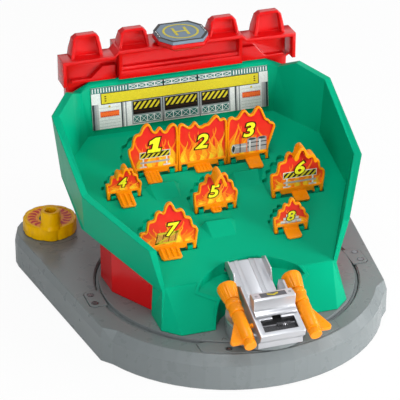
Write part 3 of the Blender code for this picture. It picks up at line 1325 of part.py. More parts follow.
def make_panel():
    lean = back_wall_lean()
    start = floor_z(FLOOR_REAR_Y) - FLOOR_THICKNESS / 2
    length = (WALL_REAR_INNER_TOP - start) / math.cos(lean)
    low = length * PANEL_LOW_SHARE + FLOOR_THICKNESS / 2
    panel = box("facade_panel", (-PANEL_HALF, -GAP - PANEL_THICKNESS, low),
                (PANEL_HALF, -GAP, low + PANEL_HEIGHT))
    turn = Matrix.Translation((0.0, FLOOR_REAR_Y, start)) @ Matrix.Rotation(-lean, 4, "X")
    finish(turned_about(panel, turn), "facade_panel", PAPER)


def rail_z(y):
    return RAIL_Z + (y - RAIL_Y) * math.tan(LAUNCH_SLOPE)


def chute_z(y):
    end = SWIVEL_Y + CHUTE_END_RADIUS
    return CHUTE_TOP_Z - (end - y) * math.tan(LAUNCH_SLOPE)


def make_swivel():
    low = TABLE_TOP + GAP
    pivot = (0.0, SWIVEL_Y)
    pedestal = turned("pedestal", [
        (PEDESTAL_RADIUS, PEDESTAL_TOP), (PEDESTAL_RADIUS, low), (PEDESTAL_BORE, low),
        (PEDESTAL_BORE, PEDESTAL_TOP)], pivot, MIDDLE_STEPS)
    finish(pedestal, "pedestal", GREY)
    plate_low = PEDESTAL_TOP + GAP
    top = plate_low + SWIVEL_THICKNESS
    stem_low = low + OVERRUN / 2
    plate = turned("swivel_plate", [(0.0, top), (SWIVEL_RADIUS, top), (SWIVEL_RADIUS, plate_low),
                                    (SWIVEL_STEM_RADIUS, plate_low), (SWIVEL_STEM_RADIUS, stem_low),
                                    (0.0, stem_low)], pivot, MIDDLE_STEPS)
    finish(plate, "swivel_plate", SILVER, origin=(0.0, SWIVEL_Y, plate_low))


def make_launcher():
    low = PEDESTAL_TOP + SWIVEL_THICKNESS + GAP * 2
    floor = low + BODY_FLOOR_THICKNESS
    skirt = BODY_SKIRT_Y - BODY_SKIRT_WALL
    profile = [(BODY_REAR_Y, low), (BODY_SKIRT_Y, low), (BODY_SKIRT_Y, BODY_SKIRT_LOW),
               (skirt, BODY_SKIRT_LOW), (skirt, BODY_SKIRT_TOP), (BODY_NOSE_LOW_Y, BODY_NOSE_LOW_Z),
               (BODY_NOSE_Y, rail_z(BODY_NOSE_Y)), (CHEEK_TOP_Y, rail_z(CHEEK_TOP_Y)),
               (CHEEK_REAR_Y, CHEEK_REAR_Z), (CHEEK_NOTCH_Y, CHEEK_NOTCH_Z)]
    body = side_shape("body", profile, BODY_HALF)
    roof = rail_z(BODY_REAR_Y) + OVERRUN * 4
    ahead = CHEEK_NOTCH_Y + OVERRUN
    thick = TOP_PLATE_THICKNESS
    channel = side_shape("channel", [
        (CAVITY_REAR_Y, floor), (CAVITY_REAR_Y, roof), (ahead, roof), (ahead, floor)], CHEEK_INNER_HALF)
    behind = CAVITY_REAR_Y + OVERRUN / 4
    cavity = side_shape("cavity", [
        (behind, floor), (CAVITY_FRONT_Y, floor),
        (CAVITY_FRONT_Y, max(rail_z(CAVITY_FRONT_Y) - thick, floor + GAP)),
        (behind, rail_z(CAVITY_REAR_Y) - thick)], CAVITY_HALF)
    front = CAVITY_FRONT_Y + WINDOW_FRONT_STEP
    window = side_shape("window", [
        (front, floor), (WINDOW_REAR_Y, floor), (WINDOW_REAR_Y, roof), (front, roof)], WINDOW_HALF)
    behind = CAVITY_REAR_Y + OVERRUN
    front = WINDOW_REAR_Y - OVERRUN / 4
    low_slot = floor + OVERRUN / 4
    slot = side_shape("slot", [(behind, low_slot), (front, low_slot), (front, roof), (behind, roof)],
                      WEB_SLOT_HALF)
    body = cut(body, channel, cavity, window, slot)
    finish(body, "launcher_body", SILVER, FINE_SMOOTH_DEG, origin=(0.0, SWIVEL_Y, low))

    make_chute(floor)
    make_ball()
    lip_low = rail_z(SLIDER_LIP_Y) + GAP
    lip_top = lip_low + SLIDER_LIP_HEIGHT
    slider = side_shape("slider_block", [
        (SLIDER_REAR_Y, rail_z(SLIDER_REAR_Y) + GAP), (SLIDER_LIP_Y, lip_low), (SLIDER_LIP_Y, lip_top),
        (SLIDER_FACE_Y, lip_top + SLIDER_FACE_RISE), (SLIDER_FRONT_Y, SLIDER_TOP_Z),
        (SLIDER_REAR_Y, SLIDER_TOP_Z)], SLIDER_HALF)
    bevel = slider.modifiers.new("round", "BEVEL")
    bevel.width = SLIDER_BEVEL
    bevel.segments = 2
    slider = settle(slider)
    slider_low = (0.0, SLIDER_REAR_Y, rail_z(SLIDER_REAR_Y))
    finish(slider, "slider_block", SILVER, FINE_SMOOTH_DEG, origin=slider_low)
    make_striker(floor)
    make_spring()


def make_chute(floor):
    """A channel from inside the body to an end that is round about the swivel."""
    end = SWIVEL_Y + CHUTE_END_RADIUS
    past = end + OVERRUN
    thick = CHUTE_FLOOR
    low = CHUTE_LOW_Y
    rest = floor + GAP
    meet = end - (CHUTE_TOP_Z - thick - rest) / math.tan(LAUNCH_SLOPE)
    chute = side_shape("chute", [(past, chute_z(past)), (past, chute_z(past) - thick), (meet, rest),
                                 (low, rest), (low, chute_z(low))], CHUTE_HALF)
    foot = CHUTE_WALL_END_Y
    profile = [(end, chute_z(end)), (CHUTE_CREST_Y, CHUTE_CREST_Z), (CHUTE_SHOULDER_Y, CHUTE_SHOULDER_Z),
               (foot, chute_z(foot)), (foot, chute_z(foot) - thick / 2), (end, chute_z(end) - thick / 2)]
    for side in (-1, 1):
        centre = side * (CHUTE_HALF - CHUTE_WALL / 2)
        chute = join(chute, side_shape("wall", profile, CHUTE_WALL / 2, centre))
    beyond = CHUTE_END_RADIUS + OVERRUN * 4
    end_ring = turned("end_ring", [(beyond, CHUTE_CREST_Z), (beyond, floor), (CHUTE_END_RADIUS, floor),
                                   (CHUTE_END_RADIUS, CHUTE_CREST_Z)], (0.0, SWIVEL_Y))
    lanes = [(0.0, CHUTE_TRACK_HALF, CHUTE_TRACK_DEPTH), (-CHUTE_LINE_X, CHUTE_LINE_HALF, CHUTE_LINE_DEPTH),
             (CHUTE_LINE_X, CHUTE_LINE_HALF, CHUTE_LINE_DEPTH)]
    grooves = []
    near = low - OVERRUN
    for x, half, depth in lanes:
        profile = [(past, chute_z(past) - depth), (near, chute_z(near) - depth),
                   (near, chute_z(near) + OVERRUN), (past, chute_z(past) + OVERRUN)]
        grooves.append(side_shape("groove", profile, half, x))
    finish(cut(chute, end_ring, *grooves), "chute", SILVER, FINE_SMOOTH_DEG, origin=(0.0, SWIVEL_Y, floor))


def make_ball():
    lift = BALL_RADIUS + GAP
    track = chute_z(BALL_Y) - CHUTE_TRACK_DEPTH
    centre = Vector((0.0, BALL_Y - lift * math.sin(LAUNCH_SLOPE), track + lift * math.cos(LAUNCH_SLOPE)))
    work = bmesh.new()
    bmesh.ops.create_uvsphere(work, u_segments=SMALL_STEPS, v_segments=SMALL_STEPS // 2, radius=BALL_RADIUS)
    mesh = bpy.data.meshes.new("steel_ball")
    work.to_mesh(mesh)
    work.free()
    mesh.transform(Matrix.Translation(centre))
    ball = place(bpy.data.objects.new("steel_ball", mesh))
    finish(ball, "steel_ball", STEEL, ROUND_SMOOTH_DEG, origin=centre)


def make_striker(floor):
    """The hammer behind the ball and the web that joins it to the slider."""
    front, rear = STRIKER_HEAD_FRONT_Y, STRIKER_HEAD_REAR_Y
    low = floor + SLIDE_TRAVEL * math.sin(LAUNCH_SLOPE) + RUNNING_GAP
    high = low + STRIKER_HEAD_HEIGHT
    head = side_shape("striker", [(front, low), (rear, low), (rear, high), (front, high)],
                      STRIKER_HEAD_HALF)
    top_y = SLIDER_REAR_Y - WEB_TOP_INSET
    web = side_shape("web", [
        (WEB_FRONT_Y, low + WEB_INSET), (WEB_REAR_Y, low + STRIKER_HEAD_HEIGHT / 2),
        (WEB_REAR_Y, rail_z(WEB_REAR_Y) - GAP / 2), (top_y, rail_z(top_y) - GAP),
        (WEB_FRONT_Y, high - WEB_INSET)], WEB_HALF)
    finish(join(head, web), "striker", STEEL, origin=(0.0, front, low))


def make_spring():
    length = SPRING_TURNS * SPRING_PITCH
    curve = bpy.data.curves.new("return_spring", "CURVE")
    curve.dimensions = "3D"
    curve.bevel_depth = SPRING_WIRE_RADIUS
    curve.bevel_resolution = 1
    curve.use_fill_caps = True
    spline = curve.splines.new("POLY")
    count = SPRING_TURNS * SPRING_STEPS + 1
    spline.points.add(count - 1)
    for i, point in enumerate(spline.points):
        angle = 2 * math.pi * i / SPRING_STEPS
        point.co = (SPRING_LEFT_X + length * i / (count - 1), SPRING_Y + SPRING_RADIUS * math.cos(angle),
                    SPRING_Z + SPRING_RADIUS * math.sin(angle), 1.0)
    spring = settle(place(bpy.data.objects.new("return_spring", curve)))
    finish(spring, "return_spring", STEEL)
    reach = WINDOW_HALF - GAP
    steps = SMALL_STEPS // 2
    pin = cross_cylinder("spring_pin", SPRING_PIN_RADIUS, -reach, reach, SPRING_Y, SPRING_Z, steps)
    finish(pin, "spring_pin", STEEL)


def nozzle_profile():
    """Radius against distance from the capped end."""
    mouth = NOZZLE_LENGTH
    ring = mouth - NOZZLE_RING_FROM_MOUTH
    collar = mouth - NOZZLE_COLLAR_FROM_MOUTH
    groove = NOZZLE_GROOVE
    barrel = NOZZLE_BARREL_RADIUS
    inner = NOZZLE_BORE_RADIUS
    return [(0.0, mouth - NOZZLE_BORE_DEPTH), (inner - groove, mouth - NOZZLE_BORE_DEPTH), (inner, mouth),
            (NOZZLE_MOUTH_RADIUS - groove, mouth), (NOZZLE_MOUTH_RADIUS, mouth - groove * 3),
            (NOZZLE_COLLAR_RADIUS, collar + groove), (NOZZLE_COLLAR_RADIUS - groove, collar),
            (NOZZLE_COLLAR_RADIUS - groove / 2, collar - groove), (barrel + groove / 2, ring + groove),
            (barrel - groove / 2, ring), (barrel, ring - groove),
            (barrel, NOZZLE_CAP_LENGTH + groove), (NOZZLE_CAP_RADIUS - groove / 2, NOZZLE_CAP_LENGTH),
            (NOZZLE_CAP_RADIUS, NOZZLE_CAP_LENGTH - groove), (NOZZLE_CAP_RADIUS, groove * 2),
            (NOZZLE_CAP_RADIUS - groove, 0.0), (0.0, 0.0)]


def make_nozzles():
    """Each is turned about its own axis, then laid along the launcher's slope."""
    for side, name in ((-1, "nozzle_left"), (1, "nozzle_right")):
        body = turned(name, nozzle_profile(), steps=NOZZLE_STEPS)
        start = NOZZLE_BARREL_RADIUS / 2
        outer = FIN_OUTER
        bend = FIN_LOW_ALONG + FIN_CORNER
        fin = [(start, FIN_LOW_ALONG), (outer - FIN_CORNER, FIN_LOW_ALONG), (outer, bend),
               (outer, bend + FIN_CORNER), (start, FIN_TOP_ALONG)]
        fin = front_shape("fin", [(side * x, z) for x, z in fin], -FIN_THICKNESS / 2, FIN_THICKNESS / 2)
        boss_reach = NOZZLE_X - BODY_HALF - GAP
        near, far = sorted((-side * boss_reach, -side * NOZZLE_BARREL_RADIUS / 2))
        boss = cross_cylinder("boss", NOZZLE_BOSS_RADIUS, near, far, NOZZLE_BOSS_DROP, NOZZLE_BOSS_ALONG)
        body = join(body, fin, boss)
        lay = Matrix.Translation((side * NOZZLE_X, NOZZLE_CAP_Y, NOZZLE_CAP_Z)) @ Matrix.Rotation(
            LAUNCH_SLOPE - math.radians(90), 4, "X")
        turned_about(body, lay)
        finish(body, name, ORANGE, FINE_SMOOTH_DEG, origin=(side * NOZZLE_X, NOZZLE_CAP_Y, NOZZLE_CAP_Z))


clear_scene()
PARTS = collection("toy fire training center")
CUTTERS = collection("cutters")
make_base()
make_clips()
make_turntable()
make_gears()
make_dial()
make_tower()
make_back_wall()
make_pad()
make_tray()
make_panel()
make_flames()
make_swivel()
make_launcher()
make_nozzles()
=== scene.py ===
"""Looks for the toy fire training center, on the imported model's frame.

Units are metres and +Z is up. Shapes that the CAD already has stay and get their material here;
flames, the dial, the grips, the slider and all printed labels are built here in finer form.
"""
import json
from math import atan2, copysign, cos, hypot, pi, radians, sin, tan

import bmesh
import bpy
from mathutils import Matrix, Vector


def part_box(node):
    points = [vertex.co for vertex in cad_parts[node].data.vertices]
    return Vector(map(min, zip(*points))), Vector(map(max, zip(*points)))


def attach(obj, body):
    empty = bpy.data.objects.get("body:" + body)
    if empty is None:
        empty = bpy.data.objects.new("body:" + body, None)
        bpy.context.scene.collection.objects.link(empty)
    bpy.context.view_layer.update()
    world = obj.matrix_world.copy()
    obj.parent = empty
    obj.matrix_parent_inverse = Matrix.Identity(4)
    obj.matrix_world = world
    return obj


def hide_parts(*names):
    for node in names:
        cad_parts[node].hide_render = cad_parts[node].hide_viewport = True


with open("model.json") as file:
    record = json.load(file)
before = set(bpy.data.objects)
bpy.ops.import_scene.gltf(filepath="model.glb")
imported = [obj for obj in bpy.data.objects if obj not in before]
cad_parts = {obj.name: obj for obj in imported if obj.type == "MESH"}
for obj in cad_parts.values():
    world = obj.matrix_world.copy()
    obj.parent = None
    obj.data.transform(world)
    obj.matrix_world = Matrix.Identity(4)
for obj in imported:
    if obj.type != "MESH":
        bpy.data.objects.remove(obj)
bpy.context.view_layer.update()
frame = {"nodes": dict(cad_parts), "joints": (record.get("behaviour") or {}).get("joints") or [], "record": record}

# Camera: the place and view line that were fitted to the photograph
CAMERA_AT = (-0.4942, -1.4164, 0.8812)
CAMERA_LINE = (0.2798, 0.8420, -0.4612)
CAMERA_LENS = 185.07
SENSOR = 36.0

# Slopes that the tray and the launcher follow
FLOOR_SLOPE = radians(16.7)
LAUNCH_SLOPE = radians(19.8)

# Colours as sRGB shares
RED = (0.80, 0.045, 0.055)
GREEN = (0.0, 0.63, 0.47)
GREY = (0.47, 0.495, 0.50)
ORANGE = (0.95, 0.56, 0.02)
YELLOW = (0.93, 0.71, 0.0)
SILVER = (0.77, 0.775, 0.79)
PAD_GREY = (0.47, 0.54, 0.60)
STEEL = (0.45, 0.45, 0.46)
GEAR_WHITE = (0.90, 0.90, 0.88)
RUBBER = (0.10, 0.10, 0.10)
# Painted shade for the hollow under the slider
CAVITY = (0.30, 0.30, 0.31)
# Painted shade for the moulded grooves in the deck and on the turntable
GROOVE = (0.22, 0.22, 0.23)
FLOOR_WHITE = (1.0, 1.0, 1.0)
INKS = {
    "flame orange": (0.97, 0.49, 0.10),
    "flame amber": (0.98, 0.66, 0.13),
    "flame yellow": (0.98, 0.80, 0.18),
    "black": (0.09, 0.075, 0.07),
    "brown": (0.22, 0.10, 0.04),
    "lemon": (0.93, 0.91, 0.16),
    "gold": (0.80, 0.74, 0.16),
    "ink red": (0.74, 0.12, 0.06),
    "amber": (0.90, 0.56, 0.03),
    "ink orange": (0.93, 0.42, 0.18),
    "paper": (0.84, 0.85, 0.84),
    "mid grey": (0.55, 0.57, 0.58),
    "dark grey": (0.20, 0.24, 0.25),
    "teal": (0.17, 0.43, 0.40),
    "steel ink": (0.66, 0.66, 0.66),
    "sticker": (0.36, 0.37, 0.39),
}
WOOD = (0.78, 0.56, 0.24)

# The fire print's colours from its foot up, and how far noise shifts them
FIRE_STOPS = (
    (0.20, (0.96, 0.60, 0.12)),
    (0.36, (0.93, 0.40, 0.11)),
    (0.58, (0.89, 0.22, 0.13)),
    (1.0, (0.85, 0.14, 0.12)),
)
FIRE_SWAY = 0.35

# Most values of a noise texture lie between these two
NOISE_LOW = 0.3
NOISE_HIGH = 0.7

# Noise scales: how many features fit in a metre
FLOW_NOISE = 22.0
GLOSS_NOISE = 90.0
RIPPLE_NOISE = 700.0
SCREEN_NOISE = 1400.0
FILM_NOISE = 160.0
STEEL_NOISE = 260.0
POLISH_NOISE = 500.0
PLATING_NOISE = 1500.0
FIRE_NOISE = 6.0
FIRE_FILM_NOISE = 900.0
FLOOR_NOISE = 3.0

# How strongly printed film shines, and how deep the ripples of plastic and of metal or film are
PRINT_SHINE = 0.2
RIPPLE_DEPTH = 0.0002
FILM_DEPTH = 0.0001

# Turns a flat drawing upright, to face the front
QUARTER_TURN = Matrix.Rotation(radians(90), 4, "X")

# Points this close together are one point, on a curve's mesh and on a CAD mesh
CURVE_JOIN = 0.000002
CAD_JOIN = 0.00001

# Degrees: edges up to these angles are shaded smooth, and edges from the last one up get rounded
PIECE_SMOOTH = 40.0
ROUNDED_SMOOTH = 35.0
ROUNDED_LEAST = 28.0

# The middle of a print's own plane
CENTRE = (0.0, 0.0)

# Print lies this far above what it is printed on, and each layer this far above the last
PRINT_LIFT = 0.00006
PRINT_LAYER = 0.00005


def linear(colour):
    """sRGB shares to linear light."""
    return tuple(c / 12.92 if c <= 0.04045 else ((c + 0.055) / 1.055) ** 2.4 for c in colour)


def toned(colour, factor):
    return tuple(min(1.0, c * factor) for c in colour)


class Shader:
    """A Principled material whose colour, roughness and bump come from noise in object space."""

    def __init__(self, name):
        self.material = bpy.data.materials.new(name)
        self.material.use_nodes = True
        self.tree = self.material.node_tree
        self.surface = self.tree.nodes["Principled BSDF"]
        self.coords = self.add("ShaderNodeTexCoord").outputs["Object"]

    def add(self, kind, **settings):
        node = self.tree.nodes.new(kind)
        for key, value in settings.items():
            setattr(node, key, value)
        return node

    def link(self, source, target):
        self.tree.links.new(source, target)

    def put(self, socket, value):
        self.surface.inputs[socket].default_value = value

    def feed(self, socket, source):
        self.link(source, self.surface.inputs[socket])

    def noise(self, scale, detail=2.0, source=None):
        node = self.add("ShaderNodeTexNoise")
        node.inputs["Scale"].default_value = scale
        node.inputs["Detail"].default_value = detail
        self.link(source or self.coords, node.inputs["Vector"])
        return node.outputs["Fac"]

    def spread(self, source, low, high):
        node = self.add("ShaderNodeMapRange")
        for socket, value in zip(node.inputs[1:], (NOISE_LOW, NOISE_HIGH, low, high)):
            socket.default_value = value
        self.link(source, node.inputs["Value"])
        return node.outputs["Result"]

    def ramp(self, source, stops):
        """The surface's colour follows a source from stop to stop."""
        node = self.add("ShaderNodeValToRGB")
        while len(node.color_ramp.elements) < len(stops):
            node.color_ramp.elements.new(1.0)
        for element, (place, colour) in zip(node.color_ramp.elements, stops):
            element.position = place
            element.color = (*linear(colour), 1.0)
        self.link(source, node.inputs["Fac"])
        self.feed("Base Color", node.outputs["Color"])

    def mottle(self, source, colour, darker, lighter):
        """The surface's colour wanders between two tones."""
        self.ramp(source, [(NOISE_LOW, toned(colour, darker)), (NOISE_HIGH, toned(colour, lighter))])

    def relief(self, source, strength, distance, edge=0.0):
        """Bump from a height, over edges that are rounded in shading."""
        bump = self.add("ShaderNodeBump")
        bump.inputs["Strength"].default_value = strength
        bump.inputs["Distance"].default_value = distance
        self.link(source, bump.inputs["Height"])
        if edge:
            bevel = self.add("ShaderNodeBevel", samples=4)
            bevel.inputs["Radius"].default_value = edge
            self.link(bevel.outputs["Normal"], bump.inputs["Normal"])
        self.feed("Normal", bump.outputs["Normal"])


def maths(tree, operation, *values):
    """A maths node's result; each value is a number or what another node gives."""
    node = tree.nodes.new("ShaderNodeMath")
    node.operation = operation
    for socket, value in zip(node.inputs, values):
        if isinstance(value, float):
            socket.default_value = value
        else:
            tree.links.new(value, socket)
    return node.outputs["Value"]


def plastic(name, colour, rough=0.28, edge=0.0006, shine=0.2, metallic=0.0, vary=0.012, grain=0.02):
    """Moulded plastic: faint flow marks in its colour, uneven gloss and a fine surface ripple."""
    shader = Shader(name)
    shader.mottle(shader.noise(FLOW_NOISE, 3.0), colour, 1.0 - vary, 1.0 + vary)
    shader.feed("Roughness", shader.spread(shader.noise(GLOSS_NOISE, 4.0), rough * 0.95, rough * 1.07))
    shader.relief(shader.noise(RIPPLE_NOISE), grain, RIPPLE_DEPTH, edge)
    shader.put("Metallic", metallic)
    shader.put("Specular IOR Level", shine)
    return shader.material


def ink(name, colour, rough=0.38, vary=0.06):
    """Printed film: a flat tone with a fine screen mottle."""
    shader = Shader(name)
    shader.mottle(shader.noise(SCREEN_NOISE, 1.0), colour, 1.0 - vary, 1.0 + vary)
    shader.feed("Roughness", shader.spread(shader.noise(FILM_NOISE), rough * 0.9, rough * 1.1))
    shader.put("Specular IOR Level", PRINT_SHINE)
    return shader.material


def steel(name, colour):
    """Plated metal, a little uneven in tone and polish."""
    rough = 0.3
    shader = Shader(name)
    shader.mottle(shader.noise(STEEL_NOISE, 4.0), colour, 0.86, 1.1)
    shader.feed("Roughness", shader.spread(shader.noise(POLISH_NOISE), rough * 0.7, rough * 1.4))
    shader.relief(shader.noise(PLATING_NOISE), 0.08, FILM_DEPTH)
    shader.put("Metallic", 1.0)
    return shader.material


def fire_print():
    """Red ground that glows orange towards the foot."""
    shader = Shader("flame print")
    uv = shader.add("ShaderNodeUVMap", uv_map="print").outputs["UV"]
    split = shader.add("ShaderNodeSeparateXYZ")
    shader.link(uv, split.inputs["Vector"])
    sway = shader.noise(FIRE_NOISE, 1.0, uv)
    shader.ramp(maths(shader.tree, "MULTIPLY_ADD", sway, FIRE_SWAY, split.outputs["Y"]), FIRE_STOPS)
    shader.put("Roughness", 0.34)
    shader.put("Specular IOR Level", PRINT_SHINE)
    shader.relief(shader.noise(FIRE_FILM_NOISE), 0.02, FILM_DEPTH)
    return shader.material


# Plastics give their roughness, the rounding of their edges in shading, and their shine
MATERIALS = {
    "red": plastic("red plastic", RED, 0.2, 0.0009, 0.35),
    "green": plastic("green plastic", GREEN, 0.32, 0.0012, 0.07),
    "grey": plastic("grey plastic", GREY, 0.28, 0.0010, 0.22, vary=0.007, grain=0.004),
    "orange": plastic("orange plastic", ORANGE, 0.27, 0.0003, 0.25),
    "yellow": plastic("yellow plastic", YELLOW, 0.24, 0.0004, 0.12),
    "silver": plastic("silver paint", SILVER, 0.3, 0.0005, 0.5, metallic=0.75, vary=0.01, grain=0.005),
    "pad": plastic("pad print", PAD_GREY, 0.45, 0.0003, 0.2),
    "white": plastic("gear plastic", GEAR_WHITE, 0.45, 0.0003),
    "steel": steel("plated steel", STEEL),
    "rubber": plastic("rubber", RUBBER, 0.8, 0.0004, 0.1, vary=0.2, grain=0.3),
    "cavity": plastic("cavity shade", CAVITY, 0.35, 0.0003, 0.4, metallic=0.5),
    "groove": ink("groove shade", GROOVE, 0.6),
    "wood": ink("wood", WOOD, vary=0.14),
    "fire": fire_print(),
}
MATERIALS.update({key: ink(key, colour) for key, colour in INKS.items()})

SLOTS = {key: key + "_plastic" for key in ("red", "green", "grey", "orange", "yellow", "silver")}
SLOTS.update(pad="pad_grey", white="white_gear_plastic", steel="steel", rubber="rubber")
SLOT_MATERIALS = {slot: key for key, slot in SLOTS.items()}


def dress_cad():
    """Every CAD node gets the full material of its slot."""
    slots = {part["node"]: part["material_slot"] for part in frame["record"]["subparts"]}
    for name, node in frame["nodes"].items():
        key = SLOT_MATERIALS.get(slots[name], "paper")
        node.data.materials.clear()
        node.data.materials.append(MATERIALS[key])


def body_of(node):
    """The name of the moving body that a CAD node belongs to."""
    for body, members in frame["record"]["behaviour"]["bodies"].items():
        if node in members:
            return body


def placed(name, data):
    """A new object in the scene for a mesh, a curve, a lamp or the camera."""
    obj = bpy.data.objects.new(name, data)
    bpy.context.scene.collection.objects.link(obj)
    return obj


def add_piece(name, mesh, key, node, matrix=None, replaces=False, smooth_deg=PIECE_SMOOTH):
    """Put a mesh in the scene on the body of a CAD node."""
    obj = placed(name, mesh)
    if matrix:
        mesh.transform(matrix)
    if key:
        mesh.materials.clear()
        mesh.materials.append(MATERIALS[key])
    mesh.shade_smooth()
    mesh.set_sharp_from_angle(angle=radians(smooth_deg))
    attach(obj, body_of(node))
    if replaces:
        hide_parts(node)
    return obj


def mesh_from(work, name):
    """Close a bmesh into a mesh."""
    mesh = bpy.data.meshes.new(name)
    work.to_mesh(mesh)
    work.free()
    return mesh


def mesh_of(name, curve):
    """The mesh of a curve, with its doubled points joined."""
    holder = placed(name, curve)
    bpy.context.view_layer.update()
    made = bpy.data.meshes.new_from_object(holder.evaluated_get(bpy.context.evaluated_depsgraph_get()))
    made.name = name
    bpy.data.objects.remove(holder, do_unlink=True)
    work = bmesh.new()
    work.from_mesh(made)
    bmesh.ops.remove_doubles(work, verts=work.verts, dist=CURVE_JOIN)
    work.to_mesh(made)
    work.free()
    return made


def outline_mesh(name, outlines, half=0.0, edge=0.0, rounding=4, grow=0.0):
    """Flat outlines filled, grown, thickened and rounded at their edges.

    An outline is a list of (x, y, soft) points, where soft points are curved through.
    """
    curve = bpy.data.curves.new(name, "CURVE")
    curve.dimensions = "2D"
    curve.fill_mode = "BOTH" if half else "FRONT"
    curve.extrude = max(half - edge, 0.0)
    curve.bevel_depth = edge
    curve.bevel_resolution = 2
    curve.offset = grow - edge
    curve.resolution_u = rounding
    for outline in outlines:
        spline = curve.splines.new("BEZIER")
        spline.bezier_points.add(len(outline) - 1)
        for point, (x, y, soft) in zip(spline.bezier_points, outline):
            point.co = (x, y, 0.0)
            point.handle_left_type = point.handle_right_type = "AUTO" if soft else "VECTOR"
        spline.use_cyclic_u = True
    return mesh_of(name, curve)


def hard(points):
    """Corner points for an outline."""
    return [(x, y, False) for x, y in points]


def upright(y, z):
    """Drawing plane to the front: across stays X, up becomes Z, thickness lies along Y."""
    return Matrix.Translation((0.0, y, z)) @ QUARTER_TURN


def raised(height):
    return Matrix.Translation((0.0, 0.0, height))


def sideways():
    """Drawing plane to the side: across becomes Y, up becomes Z, thickness lies along X."""
    return Matrix(((0, 0, 1, 0), (1, 0, 0, 0), (0, 1, 0, 0), (0, 0, 0, 1)))


def on_circle(centre, radius, angle):
    return centre[0] + radius * cos(angle), centre[1] + radius * sin(angle)


def lathe_mesh(name, profile, steps=64, ripple=None):
    """A profile of (radius, height) points turned about Z; ripple(angle, row) scales a radius."""
    work = bmesh.new()
    levels = []
    for index, (radius, height) in enumerate(profile):
        row = []
        for k in range(steps if radius else 1):
            angle = 2 * pi * k / steps
            reach = radius * (ripple(angle, index) if ripple else 1.0)
            row.append(work.verts.new((reach * cos(angle), reach * sin(angle), height)))
        levels.append(row)
    for low, high in zip(levels, levels[1:]):
        for k in range(steps):
            j = (k + 1) % steps
            ring = [low[k % len(low)], low[j % len(low)], high[j % len(high)], high[k % len(high)]]
            face = [v for i, v in enumerate(ring) if v not in ring[:i]]
            if len(face) > 2:
                work.faces.new(face)
    bmesh.ops.recalc_face_normals(work, faces=work.faces)
    return mesh_from(work, name)


def merged(name, meshes):
    """One mesh out of several that share a material."""
    work = bmesh.new()
    for mesh in meshes:
        work.from_mesh(mesh)
    return mesh_from(work, name)


def moved(mesh, matrix):
    """The same mesh, in another place."""
    mesh.transform(matrix)
    return mesh


def rod_mesh(name, start, end, radius, steps=20):
    """A plain round rod between two points."""
    start, end = Vector(start), Vector(end)
    line = end - start
    mesh = lathe_mesh(name, [(0.0, 0.0), (radius, 0.0), (radius, line.length), (0.0, line.length)], steps)
    return moved(mesh, Matrix.Translation(start) @ line.to_track_quat("Z", "Y").to_matrix().to_4x4())


def rounded_copy(node, width):
    """The CAD node's own shape with its edges truly rounded."""
    work = bmesh.new()
    work.from_mesh(frame["nodes"][node].data)
    bmesh.ops.remove_doubles(work, verts=work.verts, dist=CAD_JOIN)
    bmesh.ops.dissolve_limit(work, angle_limit=radians(1.0), verts=work.verts, edges=work.edges)
    sharp = [edge for edge in work.edges
             if len(edge.link_faces) == 2 and edge.calc_face_angle(0.0) > radians(ROUNDED_LEAST)]
    bmesh.ops.bevel(work, geom=sharp, offset=width, segments=2, profile=0.6,
                    affect="EDGES", clamp_overlap=True)
    bmesh.ops.recalc_face_normals(work, faces=work.faces)
    return mesh_from(work, node + "_look")


class Print:
    """Flat printed shapes, built up in layers on one plane: x across, y up, in a unit of its own."""

    def __init__(self, name, unit=1.0):
        self.name = name
        self.unit = unit
        self.origin = CENTRE
        self.work = bmesh.new()
        self.keys = []

    def shape(self, points, key, layer=0):
        if key not in self.keys:
            self.keys.append(key)
        height = PRINT_LIFT + PRINT_LAYER * layer
        left, low = self.origin
        spots = [(left + x * self.unit, low + y * self.unit, height) for x, y in points]
        face = self.work.faces.new([self.work.verts.new(spot) for spot in spots])
        face.normal_update()
        if face.normal.z < 0:
            face.normal_flip()
        face.material_index = self.keys.index(key)

    def rect(self, left, low, right, high, key, layer=0):
        self.shape([(left, low), (right, low), (right, high), (left, high)], key, layer)

    def bar(self, x, half, low, high, key, layer=0):
        """An upright rectangle round a middle line."""
        self.rect(x - half, low, x + half, high, key, layer)

    def frame(self, left, low, right, high, width, key, layer=0):
        self.rect(left, low, right, low + width, key, layer)
        self.rect(left, high - width, right, high, key, layer)
        self.rect(left, low + width, left + width, high - width, key, layer)
        self.rect(right - width, low + width, right, high - width, key, layer)

    def line(self, start, end, width, key, layer=0):
        start, end = Vector(start), Vector(end)
        side = (end - start).normalized().orthogonal() * width / 2
        self.shape([start + side, start - side, end - side, end + side], key, layer)

    def ring(self, centre, outer, inner, key, layer=0, steps=48):
        for k in range(steps):
            a, b = (2 * pi * i / steps for i in (k, k + 1))
            corners = ((outer, a), (outer, b), (inner, b), (inner, a))
            self.shape([on_circle(centre, radius, turn) for radius, turn in corners], key, layer)

    def disc(self, centre, across, up, key, layer=0, steps=24):
        """A filled oval, given by its two radii."""
        x, y = centre
        turns = [2 * pi * k / steps for k in range(steps)]
        self.shape([(x + across * cos(t), y + up * sin(t)) for t in turns], key, layer)

    def stripes(self, left, low, right, high, pitch, key, layer=0, lean=1.0):
        """Slanting stripes, half a pitch wide, clipped to a rectangle."""
        tall = (high - low) * lean
        start = left - tall
        while start < right:
            end = start + pitch / 2
            band = [(start, low), (end, low), (end + tall, high), (start + tall, high)]
            band = clip(clip(band, left, 1), right, -1)
            if len(band) > 2:
                self.shape(band, key, layer)
            start += pitch

    def build(self, node, matrix):
        """Put the print on the body of a CAD node."""
        mesh = mesh_from(self.work, self.name)
        for key in self.keys:
            mesh.materials.append(MATERIALS[key])
        obj = add_piece(self.name, mesh, None, node, matrix)


